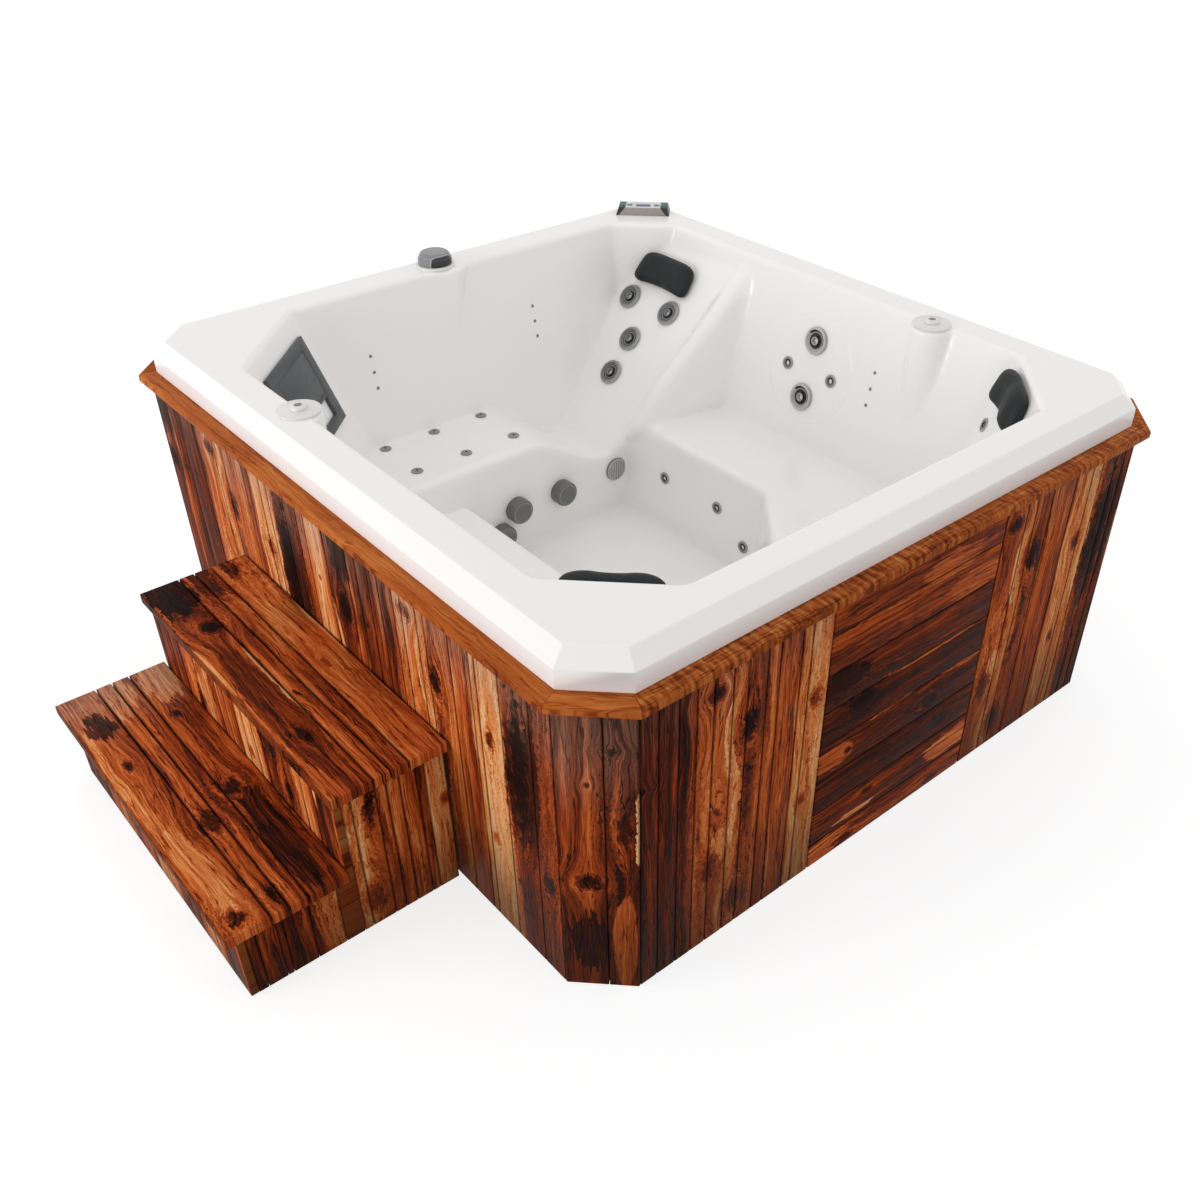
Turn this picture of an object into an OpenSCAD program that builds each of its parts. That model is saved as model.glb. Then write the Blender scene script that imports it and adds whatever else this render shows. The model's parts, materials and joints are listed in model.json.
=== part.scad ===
// Free-standing timber-clad hot tub with a lounger, two corner seats and a two-tread step.
// Origin: centre of the underside on the floor. +Z is up, the steps stand on the -Y side,
// the access panel is on the +X side, the lounger runs along -X with its head towards +Y.

/* [Cabinet] */
// Width of the cabinet along X, over the boards
cab_w = 2044; // [1900:2:2200]
// Depth of the cabinet along Y, over the boards
cab_d = 1882; // [1760:2:2040]
// Height of the top of the boards above the floor
cab_h = 806; // [780:1:840]
// How far each corner of the cabinet is cut back along both sides
cab_cut = 113; // [90:1:140]
// Thickness of the cabinet boards
board_t = 15; // [12:1:20]
// Joint left open between neighbouring boards
board_gap = 1.6; // [1:0.1:3]
// Height of the boards' lower ends above the floor
board_lift = 3; // [2:1:8]
// Thickness of the moulded base pan
pan_t = 15; // [10:1:25]

/* [Access panel] */
// Width of the access panel along Y
panel_w = 590; // [450:1:700]
// Middle of the access panel along Y
panel_y = 5; // [-60:1:60]
// Open joint round the access panel
panel_gap = 3; // [2:0.5:5]
// Width of the upright battens behind the panel
batten_w = 45; // [30:1:60]
// Thickness of the upright battens
batten_t = 18; // [12:1:24]

/* [Frame] */
// Width and depth of the frame timbers
timber = 45; // [35:1:50]

/* [Top trim] */
// Thickness of the wooden trim under the rim
trim_t = 25; // [20:1:32]
// How far the trim stands out past the boards
trim_out = 28; // [20:1:36]
// Radius on the trim's upper outer edge
trim_round = 11; // [6:1:12]
// Radius on the trim's lower outer edge
trim_round_low = 6; // [3:1:8]
// Width of trim hidden under the shell's lip
trim_tuck = 20; // [12:1:30]

/* [Shell rim] */
// Height of the rim's flat top above the boards
rim_rise = 105; // [90:1:130]
// How far the shell's lip stands inside the face of the boards
lip_inset = 17; // [10:1:24]
// Height of the upright lip
lip_h = 48; // [30:1:60]
// Width of the sloping bevel between the lip and the flat top
bevel_w = 35; // [20:1:40]
// Corner cut of the lip
lip_cut = 106; // [90:1:130]
// Wall thickness of the shell
shell_t = 8; // [6:0.5:10]

/* [Basin] */
// Distance from the boards' face to the basin's rim edge on the lounger side
ledge_left = 156; // [145:1:170]
// Distance from the boards' face to the basin's rim edge on the panel side
ledge_right = 136; // [128:1:150]
// Distance from the boards' face to the basin's rim edge on the steps and far sides
ledge_y = 141; // [135:1:160]
// Corner cut of the basin at the lounger's foot, where the skimmer is
cut_skimmer = 271; // [240:1:300]
// Corner cut of the basin at the front seat
cut_front = 212; // [190:1:240]
// Corner cut of the basin at the right-hand seat
cut_right = 220; // [190:1:240]
// Corner cut of the basin at the lounger's head
cut_head = 156; // [140:1:190]
// Height of the bench seats
bench_z = 430; // [400:1:460]
// Height of the front seat
front_z = 350; // [330:1:390]
// Height of the lounger's leg rest
lounge_z = 455; // [440:1:480]
// Height of the lounger's lowest point, under the hips
hip_z = 322; // [300:1:340]
// Distance from the far rim edge to the lounger's lowest point
hip_deep = 500; // [485:1:520]
// Place along Y where the leg rest starts to dip
knee_y = 0; // [-40:1:40]
// Width of the lounger from the rim edge to its inner edge
lounge_w = 388; // [370:1:410]
// Lean of the lounger's backrest from upright
recline = 41.5; // [38:0.5:44]

/* [Footwell] */
// Height of the footwell's floor
well_z = 110; // [90:1:140]
// Depth of the far bench from the rim edge to its riser
bench_far = 409; // [395:1:425]
// Depth of the front seat from the rim edge to its riser
bench_near = 542; // [510:1:570]
// Depth of the panel side's bench from the rim edge to its riser
bench_right = 486; // [460:1:515]
// Slope of the risers, in mm per mm
well_draft = 0.06; // [0.03:0.01:0.08]

/* [Jets] */
// Radius of a large jet's turning bezel
jet_r = 42.5; // [38:0.5:46]
// Radius of a large jet's barrel
jet_barrel_r = 28; // [24:0.5:30]
// Radius of a small jet's face
mini_r = 20; // [17:0.5:23]
// Radius of a small jet's barrel
mini_barrel_r = 13; // [10:0.5:15]
// Radius of an air injector's cap
injector_r = 18; // [14:0.5:20]
// Radius of a small light point
dot_r = 5; // [4:0.5:7]
// Radius of a suction cover
suction_r = 41; // [36:1:45]
// How far a suction cover stands out of the wall
suction_h = 38; // [30:1:45]
// Radius of the underwater light's lens
lens_r = 40; // [34:1:46]

/* [Rim controls] */
// Radius of the diverter cap
diverter_r = 52; // [46:1:56]
// Height of the diverter cap
diverter_h = 36; // [28:1:44]
// Radius of the white ring under the diverter cap
diverter_ring_r = 62; // [58:1:66]
// Radius of the shell's boss under the diverter
diverter_boss_r = 90; // [80:1:96]
// Radius of an air valve's white disc
valve_r = 55; // [48:1:58]
// Radius of the shell's boss under an air valve
valve_boss_r = 58; // [56:1:66]
// Radius of an air valve's turning knob
valve_knob_r = 22; // [18:1:26]
// Length of the control panel's front edge
topside_w = 180; // [160:1:200]
// Depth of the control panel
topside_d = 74; // [66:1:80]
// Height of the control panel above the rim
topside_h = 24; // [20:1:28]

/* [Skimmer] */
// Width of the skimmer plate
skim_w = 300; // [270:1:310]
// Height of the skimmer plate along the wall
skim_h = 264; // [230:1:276]
// Thickness of the skimmer plate
skim_t = 12; // [10:1:16]
// Radius of the filter canister
can_r = 92; // [80:1:100]
// Radius of the filter cartridge
filter_r = 74; // [60:1:78]

/* [Pillows] */
// Width of a pillow
pillow_w = 250; // [220:1:270]
// Height of a pillow along the wall
pillow_h = 108; // [96:1:116]
// Thickness of a pillow at its crown
pillow_t = 46; // [36:1:56]

/* [Steps] */
// Length of a tread along X
tread_l = 998; // [800:1:1100]
// Middle of the step along X
step_x = 9; // [-100:1:100]
// Depth of a tread along Y
tread_d = 294; // [260:1:320]
// Height of one step
rise = 225; // [200:1:240]
// Thickness of a tread
tread_t = 28; // [22:1:34]
// Gap between the step and the cabinet
step_gap = 3; // [2:1:10]
// How far the treads stand out past the risers
nosing = 26; // [16:1:36]

/* [Hidden] */
$fn = 64;
eps = 0.01;

// Clearances
run_fit = 0.05;      // radial, for a barrel that turns in a bore
push_fit = 0.5;      // radial, for a barrel that passes through the shell
axial_gap = 0.3;     // between a turning face and its seat
soft_gap = 0.3;      // between a pillow and the shell
mitre_gap = 0.3;     // half the joint between two mitred lengths

// Cabinet, derived
cab_x = cab_w / 2;
cab_y = cab_d / 2;
in_x = cab_x - board_t;
in_y = cab_y - board_t;
diag = 2 - sqrt(2);
in_cut = cab_cut - board_t * diag;
split_x = in_x - in_cut;
split_y = in_y - in_cut;
timber_cut = in_cut - timber * diag;
panel_lo = panel_y - panel_w / 2;
panel_hi = panel_y + panel_w / 2;

// Shell, derived
rim_z = cab_h + rim_rise;
basin_left = cab_x - ledge_left;
basin_right = cab_x - ledge_right;
basin_half = cab_y - ledge_y;
lounge_edge = basin_left - lounge_w;
hip_y = basin_half - hip_deep;
well_far = basin_half - bench_far;
well_near = basin_half - bench_near;
well_right = basin_right - bench_right;
lip_z = cab_h + trim_t;
lip_x = cab_x - lip_inset;
lip_y = cab_y - lip_inset;
bevel_z = lip_z + lip_h;
flat_x = lip_x - bevel_w;
flat_y = lip_y - bevel_w;
flat_cut = lip_cut - bevel_w * diag;
wall_slope = 0.25;
lounger_wall_slope = 0.204;
corner_slope = 0.36;
head_slope = 0.135;
skimmer_slope = 0.38;
back_k = tan(recline);

// The basin's eight walls: facing angle, distance at the rim and inward slope.
// A wall with facing angle a looks along [sin a, -cos a], so 0 is the far wall.
FAR = 0;
HEAD = 1;
LOUNGER = 2;
SKIMMER = 3;
NEAR = 4;
FRONT = 5;
PANEL = 6;
RIGHT = 7;
basin_walls = [
    [0, basin_half, wall_slope],
    [45, (basin_left + basin_half - cut_head) / sqrt(2), head_slope],
    [90, basin_left, lounger_wall_slope],
    [135, (basin_left + basin_half - cut_skimmer) / sqrt(2), skimmer_slope],
    [180, basin_half, wall_slope],
    [225, (basin_right + basin_half - cut_front) / sqrt(2), corner_slope],
    [270, basin_right, wall_slope],
    [315, (basin_right + basin_half - cut_right) / sqrt(2), corner_slope]
];
// The footwell's walls, at bench height. The slanted one crosses the right-hand seat's corner.
well_slant_angle = 319.4;
well_slant_cut = 159.2;
well_front_cut = 120;
well_under_lounger = 30;
well_slant = [well_right, well_far] * outward(well_slant_angle) - well_slant_cut;
well_walls = [
    [0, well_far, well_draft],
    [90, lounge_edge + well_under_lounger, 0],
    [180, well_near, well_draft],
    [225, (well_right + well_near - well_front_cut) / sqrt(2), well_draft],
    [270, well_right, well_draft],
    [well_slant_angle, well_slant, well_draft]
];

function outward(a) = [-sin(a), cos(a)];
function along(a) = [cos(a), sin(a)];
function reach(wall, z, top, grow) = wall[1] - wall[2] * (top - z) + grow;
// Corner where two walls meet, in plan
function meet(a, da, b, db) =
    let (na = outward(a), nb = outward(b), det = na[0] * nb[1] - na[1] * nb[0])
    [(da * nb[1] - db * na[1]) / det, (na[0] * db - nb[0] * da) / det];
// Reach of wall i. A corner wall always cuts the corner between its two neighbours.
least_cut = 8;
function held_reach(walls, i, z, top, grow) =
    let (n = len(walls), own = reach(walls[i], z, top, grow),
         before = reach(walls[(i + n - 1) % n], z, top, grow),
         after = reach(walls[(i + 1) % n], z, top, grow))
    walls[i][0] % 90 == 45 ? min(own, (before + after) / sqrt(2) - least_cut) : own;
function ring_of(walls, z, top, grow) = [
    for (i = [0 : len(walls) - 1])
        let (j = (i + 1) % len(walls))
        meet(walls[i][0], held_reach(walls, i, z, top, grow), walls[j][0], held_reach(walls, j, z, top, grow))
];
// Point on the inside of a basin wall, s along the wall and z above the floor
function on_wall(i, s, z) =
    let (w = basin_walls[i], p = outward(w[0]) * reach(w, z, rim_z, 0) + along(w[0]) * s)
    [p[0], p[1], z];
function wall_lean(i) = atan(basin_walls[i][2]);
// Distance along a wall to its middle, between its two corners
function middle(i, z) =
    let (ring = ring_of(basin_walls, z, rim_z, 0), a = along(basin_walls[i][0]))
    (ring[(i + 7) % 8] + ring[i]) * a / 2;
// Place along Y of the lounger's backrest at a height
function back_y(z) = hip_y + 18 + back_k * (z - hip_z);
// Corners of an octagon with half sizes x and y and a corner cut
function oct(x, y, cut) = [
    [x, -y + cut], [x, y - cut], [x - cut, y], [-x + cut, y],
    [-x, y - cut], [-x, -y + cut], [-x + cut, -y], [x - cut, -y]
];
function arc(x, y, r, from, to, steps = 6) = [
    for (i = [0 : steps])
        let (a = from + (to - from) * i / steps)
        [x + r * cos(a), y + r * sin(a)]
];

module oct_prism(x, y, cut, z0, z1) {
    translate([0, 0, z0])
        linear_extrude(z1 - z0)
            polygon(oct(x, y, cut));
}

module oct_ring(x, y, cut, width, z0, z1) {
    difference() {
        oct_prism(x, y, cut, z0, z1);
        oct_prism(x - width, y - width, cut - width * diag, z0 - 1, z1 + 1);
    }
}

// Puts children on a surface: local Z leaves the surface, local Y climbs it
module seat_on(p, facing, lean) {
    translate(p)
        rotate([0, 0, facing])
            rotate([90 - lean, 0, 0])
                children();
}

module tube(r, bore, z0, z1) {
    translate([0, 0, z0])
        difference() {
            cylinder(r = r, h = z1 - z0);
            translate([0, 0, -1])
                cylinder(r = bore, h = z1 - z0 + 2);
        }
}

module disc(r, z0, z1) {
    translate([0, 0, z0])
        cylinder(r = r, h = z1 - z0);
}

// Base pan and frame

module base_pan() {
    color("#3a3a3c")
        oct_prism(in_x, in_y, in_cut, 0, pan_t);
}

// One of eight straight lengths round an octagon, cut at its ends to meet the next
module mitred_length(i, x, y, cut, width, z0, z1) {
    outer = oct(x, y, cut);
    inner = oct(x - width, y - width, cut - width * diag);
    h = (i + 7) % 8;
    joint = (outer[i] - outer[h]) / norm(outer[i] - outer[h]) * mitre_gap;
    translate([0, 0, z0])
        linear_extrude(z1 - z0)
            polygon([outer[h] + joint, outer[i] - joint, inner[i] - joint, inner[h] + joint]);
}

module frame_rails() {
    color("#b89468")
        for (i = [0 : 7], z = [pan_t, cab_h - timber])
            mitred_length(i, in_x, in_y, in_cut, timber, z, z + timber);
}

module post(x, y) {
    translate([x - timber / 2, y - timber / 2, pan_t + timber])
        cube([timber, timber, cab_h - pan_t - 2 * timber]);
}

post_x = in_x - timber / 2;
post_y = in_y - timber / 2;
post_end_x = split_x - timber / 2;
post_end_y = split_y - timber / 2;

module frame_posts() {
    color("#b89468") {
        for (sx = [-1, 1], sy = [-1, 1]) {
            post(sx * post_x, sy * post_end_y);
            post(sx * post_end_x, sy * post_y);
        }
        for (sy = [-1, 1])
            post(0, sy * post_y);
        post(-post_x, 0);
        post(post_x, panel_lo - timber / 2);
        post(post_x, panel_hi + timber / 2);
    }
}

well_under = well_z - shell_t;
well_board_t = 15;
bearer_w = 60;
bearer_in = 60;
well_board_in = 38;
well_board_right = 70;
well_board_y = 58;
well_board_l = well_far + well_near - 119;
bearer_shift = 25;
bearer_out = 10;

module footwell_bearers() {
    color("#c9a878") {
        x0 = well_board_in - lounge_edge;
        x1 = well_right - well_board_right;
        y0 = well_board_y - well_near;
        translate([x0, y0, well_under - well_board_t])
            cube([x1 - x0, well_board_l, well_board_t]);
        for (x = [x0 + bearer_in, (x0 + x1 - bearer_w) / 2 + bearer_shift, x1 - bearer_w - bearer_out])
            translate([x, y0, pan_t])
                cube([bearer_w, well_board_l, well_under - well_board_t - pan_t]);
    }
}

// Cabinet boards. Each run has boards of mixed widths, stretched to fill its length.

steps_side_widths = [137, 103, 111, 52, 114, 96, 38, 89, 63, 38, 92, 102, 46, 52, 45, 60, 34, 61, 30, 95,
                     73, 22, 81, 100, 72];
lounger_side_widths = [92, 61, 104, 48, 83, 117, 55, 74, 39, 98, 66, 111, 45, 87, 58, 102, 71, 36, 90, 64,
                       107, 53, 83];
panel_near_widths = [47, 52, 47, 45, 52, 42, 54, 36, 64, 30, 63];
panel_far_widths = [83, 38, 63, 96, 72, 41, 59, 38, 32];
access_heights = [77, 103, 104, 106, 104, 106, 108, 92];
riser_widths = [31, 65, 57, 89, 51, 70, 45, 55, 43, 54, 51, 53, 53, 81, 57, 24, 75];
upper_side_widths = [23, 60, 28, 32, 42, 21, 53];
lower_side_widths = [25, 47, 15, 62, 71, 48];

function sum(v, n) = n <= 0 ? 0 : v[n - 1] + sum(v, n - 1);
function unit_of(v, length) = length / sum(v, len(v));

module board_run(length, widths, thick, height) {
    unit = unit_of(widths, length);
    for (i = [0 : len(widths) - 1])
        translate([sum(widths, i) * unit + board_gap / 2, 0, 0])
            cube([widths[i] * unit - board_gap, thick, height]);
}

module cladding(length, widths) {
    translate([0, 0, board_lift])
        board_run(length, widths, board_t, cab_h - board_lift);
}

module boards_steps_side() {
    color("#8a3f1c")
        translate([-split_x, -cab_y, 0])
            cladding(2 * split_x, steps_side_widths);
}

module boards_far_side() {
    color("#8a3f1c")
        translate([split_x, cab_y, 0])
            rotate([0, 0, 180])
                cladding(2 * split_x, steps_side_widths);
}

module boards_lounger_side() {
    color("#8a3f1c")
        translate([-cab_x, split_y, 0])
            rotate([0, 0, -90])
                cladding(2 * split_y, lounger_side_widths);
}

module boards_panel_side() {
    color("#8a3f1c")
        translate([cab_x, 0, 0])
            rotate([0, 0, 90]) {
                translate([-split_y, 0, 0])
                    cladding(split_y + panel_lo, panel_near_widths);
                translate([panel_hi, 0, 0])
                    cladding(split_y - panel_hi, panel_far_widths);
            }
}

// One corner panel is two boards. It is drawn for +X +Y and mirrored.
corner_share = 0.41;

module corner_boards() {
    color("#7d3818")
        for (sx = [0, 1], sy = [0, 1])
            mirror([sx, 0, 0])
                mirror([0, sy, 0])
                    difference() {
                        oct_ring(cab_x, cab_y, cab_cut, board_t, board_lift, cab_h);
                        translate([-cab_w, -cab_d, 0])
                            cube([cab_w + split_x + board_gap / 2, 2 * cab_d, cab_h + 1]);
                        translate([-cab_w, -cab_d, 0])
                            cube([2 * cab_w, cab_d + split_y + board_gap / 2, cab_h + 1]);
                        translate([cab_x - cab_cut * corner_share, cab_y - cab_cut * (1 - corner_share), 0])
                            rotate([0, 0, 45])
                                translate([-2 * board_t, -board_gap / 2, 0])
                                    cube([4 * board_t, board_gap, cab_h + 1]);
                    }
}

// Access panel

module access_boards() {
    unit = unit_of(access_heights, cab_h - board_lift - panel_gap);
    color("#96481f")
        for (i = [0 : len(access_heights) - 1])
            translate([in_x, panel_lo + panel_gap, board_lift + sum(access_heights, i) * unit])
                cube([board_t, panel_w - 2 * panel_gap, access_heights[i] * unit - board_gap]);
}

batten_in = 4;

module access_battens() {
    color("#b89468")
        for (y = [panel_lo + panel_gap + batten_in, panel_hi - panel_gap - batten_in - batten_w])
            translate([in_x - batten_t, y, pan_t + timber + panel_gap])
                cube([batten_t, batten_w, cab_h - pan_t - 2 * timber - 2 * panel_gap]);
}

// Trim. Each of the eight lengths has the same section and is mitred to the next.

trim_x = cab_x + trim_out;
trim_y = cab_y + trim_out;
trim_cut = cab_cut + trim_out * diag;
trim_w = trim_out + lip_inset + trim_tuck;
trim_section = concat(
    [[0, 0]],
    arc(trim_w - trim_round_low, trim_round_low, trim_round_low, -90, 0),
    arc(trim_w - trim_round, trim_t - trim_round, trim_round, 0, 90),
    [[0, trim_t]]
);

module trim_length(i) {
    ring = oct(trim_x, trim_y, trim_cut);
    from = ring[(i + 7) % 8];
    run = ring[i] - from;
    intersection() {
        translate([from[0], from[1], cab_h])
            rotate([0, 0, atan2(run[1], run[0])])
                translate([-norm(run), trim_w, 0])
                    rotate([90, 0, 90])
                        linear_extrude(3 * norm(run))
                            polygon([for (p = trim_section) [-p[0], p[1]]]);
        mitred_length(i, trim_x, trim_y, trim_cut, trim_w, cab_h - 1, cab_h + trim_t + 1);
    }
}

module top_trim() {
    color("#a9602c")
        for (i = [0 : 7])
            trim_length(i);
}

// Shell. basin(0) is the space inside, and basin(shell_t) is that space with its wall.

module flat_slab(points, z0, z1) {
    translate([0, 0, z0])
        linear_extrude(z1 - z0)
            polygon(points);
}

module loft(walls, top, high, low, grow) {
    hull() {
        flat_slab(ring_of(walls, top, top, grow), high - eps, high);
        flat_slab(ring_of(walls, top, top, grow), min(top, high) - eps, min(top, high));
        flat_slab(ring_of(walls, low, top, grow), low, low + eps);
    }
}

dip_steps = 10;
function dip_z(u) = hip_z + (lounge_z - hip_z) * (1 + cos(180 * u)) / 2;

// Side view of the lounger from the leg rest over the hips and up the backrest
module lounge_section(grow) {
    polygon(concat(
        [[-cab_d, -1], [-cab_d, lounge_z - grow]],
        [for (i = [0 : dip_steps])
            [knee_y + (hip_y - knee_y) * i / dip_steps, dip_z(i / dip_steps) - grow]],
        [[back_y(hip_z) + grow / 2, hip_z - grow], [back_y(2 * rim_z) + grow / 2, 2 * rim_z - grow],
         [2 * cab_d, 2 * rim_z], [2 * cab_d, -1]]
    ));
}

module lounge_block(grow) {
    translate([-lounge_edge - grow, 0, 0])
        rotate([90, 0, -90])
            linear_extrude(cab_w)
                mirror([1, 0])
                    lounge_section(grow);
}

// The side of the backrest stands between the lounger and the far bench. Two planes cut it:
// one faces the bench, the other falls to the footwell's corner under the lounger's lip.
ridge_foot_down = 22;
ridge_lip_down = 8;
ridge_near_w = 99;
ridge_far_w = 188;
ridge_foot_z = hip_z - ridge_foot_down;
ridge_foot = [-lounge_edge, well_far - well_draft * (bench_z - ridge_foot_z), ridge_foot_z];
ridge_seat = [ridge_near_w - lounge_edge, well_far, bench_z];
ridge_lip = [-lounge_edge, hip_y, hip_z - ridge_lip_down];
ridge_top = [ridge_far_w - lounge_edge, basin_half, bench_z];
ridge_lean = 0.09;
roll_w = 62;
// The roll's crest, as distances behind and above the hips
roll_climb = [[60, 109], [157, 227], [506, 564]];
roll_crest = [for (p = roll_climb) [hip_y + p[0], hip_z + p[1]]];

function cross3(a, b, c) = cross(b - a, c - a) / norm(cross(b - a, c - a));

// Everything behind a plane through a point, where the normal leaves the solid
module behind(at, normal) {
    big = 2 * cab_w;
    translate(at)
        rotate([0, acos(normal[2]), atan2(normal[1], normal[0])])
            translate([-big, -big, -2 * big])
                cube([2 * big, 2 * big, 2 * big]);
}

ridge_face = cross3(ridge_foot, ridge_seat, ridge_lip);
bench_face = cross3(ridge_seat, ridge_top, ridge_seat + [-ridge_lean, 0, 1]);

// Solid behind a side view, given as points from the lip to the wall
module behind_profile(points, grow) {
    rotate([90, 0, 90])
        translate([0, 0, -lounge_edge - roll_w])
            linear_extrude(cab_w)
                polygon(concat(
                    [[hip_y, -1]],
                    [for (p = points) [p[0] + grow / 2, p[1] - grow]],
                    [[2 * cab_d, 2 * rim_z], [2 * cab_d, -1]]
                ));
}

module ridge_block(grow) {
    intersection() {
        behind_profile([[hip_y - grow / 2, hip_z], [back_y(hip_z), hip_z], [back_y(2 * rim_z), 2 * rim_z]],
                       grow);
        behind(ridge_foot - grow * ridge_face, ridge_face);
        behind(ridge_seat - grow * bench_face, bench_face);
    }
    intersection() {
        behind_profile(concat([[hip_y - grow / 2, hip_z]], roll_crest, [[back_y(2 * rim_z), 2 * rim_z]]),
                       grow);
        behind(ridge_foot - grow * ridge_face, ridge_face);
        behind(ridge_seat - grow * bench_face, bench_face);
        behind(ridge_seat - (roll_w - grow) * bench_face, -bench_face);
    }
}

// Rim controls, measured from the basin's edges
diverter_out = 46;
diverter_y = -12;
valve_near_in = 202;
valve_near_out = 8;
valve_far_in = 21;
valve_far_out = -14;
diverter_at = [-basin_left - diverter_out, diverter_y];
valve_near_at = [valve_near_in - lounge_edge, -basin_half - valve_near_out];
valve_far_at = [well_right - valve_far_in, basin_half + valve_far_out];

module boss(at, r, grow) {
    translate([at[0], at[1], bench_z])
        cylinder(r = r - grow, h = rim_z);
}

// Room below the front seat's level, where lounge_block leaves the hips their place
hip_room = 5;
front_lap = 5;

module hip_hollow(grow) {
    far_x = reach(basin_walls[LOUNGER], front_z - grow, rim_z, grow);
    translate([-far_x, 0, hip_z - grow - hip_room])
        cube([far_x - lounge_edge - grow, back_y(rim_z), front_z - hip_z + 2 * hip_room]);
}

module basin(grow) {
    over = grow > 0 ? -1 : 1;
    difference() {
        union() {
            intersection() {
                loft(basin_walls, rim_z, rim_z + over, front_z - grow, grow);
                union() {
                    translate([-cab_w, -cab_d, bench_z - grow])
                        cube([2 * cab_w, 2 * cab_d, rim_z]);
                    translate([-lounge_edge - grow, -cab_d, front_z - grow])
                        cube([2 * cab_w, cab_d - well_near + front_lap + grow, rim_z]);
                    translate([-cab_w, -cab_d, front_z - grow])
                        cube([cab_w - lounge_edge - grow, 2 * cab_d, rim_z]);
                }
            }
            hip_hollow(grow);
            loft(well_walls, bench_z, bench_z, well_z - grow, grow);
        }
        lounge_block(grow);
        ridge_block(grow);
        boss(diverter_at, diverter_boss_r, grow);
        boss(valve_near_at, valve_boss_r, grow);
        boss(valve_far_at, valve_boss_r, grow);
    }
}

// Places of the fittings: each is [point, facing, lean]
function wall_site(i, s, z) = [on_wall(i, s, z), basin_walls[i][0], wall_lean(i)];
function back_site(x, z) = [[x, back_y(z), z], 0, recline];
function riser_site(x, z) =
    [[x, well_far - well_draft * (bench_z - z), z], 0, atan(well_draft)];
function edge_site(y, z) = [[-lounge_edge, y, z], 90, 0];

spine_in = 182;
back_climb = 368;
spine_x = -lounge_edge - spine_in;
back_top = hip_z + back_climb;
large_sites = [
    back_site(spine_x - 99, back_top), back_site(spine_x + 97, back_top), back_site(spine_x, back_top - 96),
    back_site(spine_x, back_top - 191), wall_site(FAR, -10, rim_z - 167), wall_site(FAR, -14, rim_z - 340)
];
small_sites = [
    wall_site(FAR, -99, rim_z - 261), wall_site(FAR, 80, rim_z - 261), wall_site(RIGHT, -62, rim_z - 189),
    riser_site(-277, bench_z - 139), riser_site(-30, bench_z - 139), riser_site(97, bench_z - 220)
];
injector_sites = [
    for (x = [spine_x - 94, spine_x + 89], y = [3, -174, -350])
        [[x, y, lounge_z], 0, 90]
];
dot_step = 48;
dot_tops = [[LOUNGER, -318, 185], [LOUNGER, 284, 182], [FAR, 229, 187]];
dot_sites = [
    for (k = [0, 1, 2], top = dot_tops)
        wall_site(top[0], top[1], rim_z - top[2] - dot_step * k)
];
suction_sites = [edge_site(109, well_z + 148), edge_site(-67, well_z + 150), edge_site(-134, well_z + 78)];
light_site = edge_site(hip_y + 38, well_z + 147);
skim_z = rim_z - 185;
skim_site = wall_site(SKIMMER, middle(SKIMMER, skim_z), skim_z);

module at_site(site) {
    seat_on(site[0], site[1], site[2])
        children();
}

suction_barrel_r = 30;
light_barrel_r = 30;
injector_barrel_r = 9;
dot_barrel_r = 3.5;
valve_barrel_r = 20;
diverter_barrel_r = 40;
mouth_w = 216;
mouth_h = 66;
mouth_y = -72;
hole_depth = 3 * shell_t;

module drill(sites, r) {
    for (site = sites)
        at_site(site)
            translate([0, 0, -hole_depth])
                cylinder(r = r + push_fit, h = 2 * hole_depth);
}

module acrylic_shell() {
    color("#ece9e4")
        difference() {
            union() {
                difference() {
                    hull() {
                        oct_prism(lip_x, lip_y, lip_cut, lip_z, bevel_z);
                        oct_prism(flat_x, flat_y, flat_cut, rim_z - eps, rim_z);
                    }
                    oct_prism(lip_x - shell_t, lip_y - shell_t, lip_cut - shell_t * diag,
                              lip_z - 1, bevel_z - shell_t / 2);
                    oct_prism(flat_x - shell_t, flat_y - shell_t, flat_cut - shell_t * diag,
                              lip_z - 1, rim_z - shell_t);
                }
                basin(shell_t);
            }
            basin(0);
            drill(large_sites, jet_barrel_r);
            drill(small_sites, mini_barrel_r);
            drill(injector_sites, injector_barrel_r);
            drill(dot_sites, dot_barrel_r);
            drill(suction_sites, suction_barrel_r);
            drill([light_site], light_barrel_r);
            at_site(skim_site)
                translate([-mouth_w / 2 - push_fit, mouth_y - mouth_h / 2 - push_fit, -hole_depth])
                    cube([mouth_w + 2 * push_fit, mouth_h + 2 * push_fit, 2 * hole_depth]);
            for (at = [valve_near_at, valve_far_at])
                translate([at[0], at[1], rim_z - hole_depth])
                    cylinder(r = valve_barrel_r + push_fit, h = 2 * hole_depth);
            translate([diverter_at[0], diverter_at[1], rim_z - hole_depth])
                cylinder(r = diverter_barrel_r + push_fit, h = 2 * hole_depth);
        }
}

// Jets. A body passes through the shell, with a flange inside the tub and a nut behind it.

flange_t = 4;
nut_t = 12;
nut_seat = shell_t * 1.1;
jet_bore_r = jet_barrel_r - 4;
nut_over = 12;
jet_back = 92;
jet_stem = 30;
jet_floor = 6;
flange_in = 5;
barb_r = 10;
barb_l = 52;
barb_wall = 3;
barb_up = 16;

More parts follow.
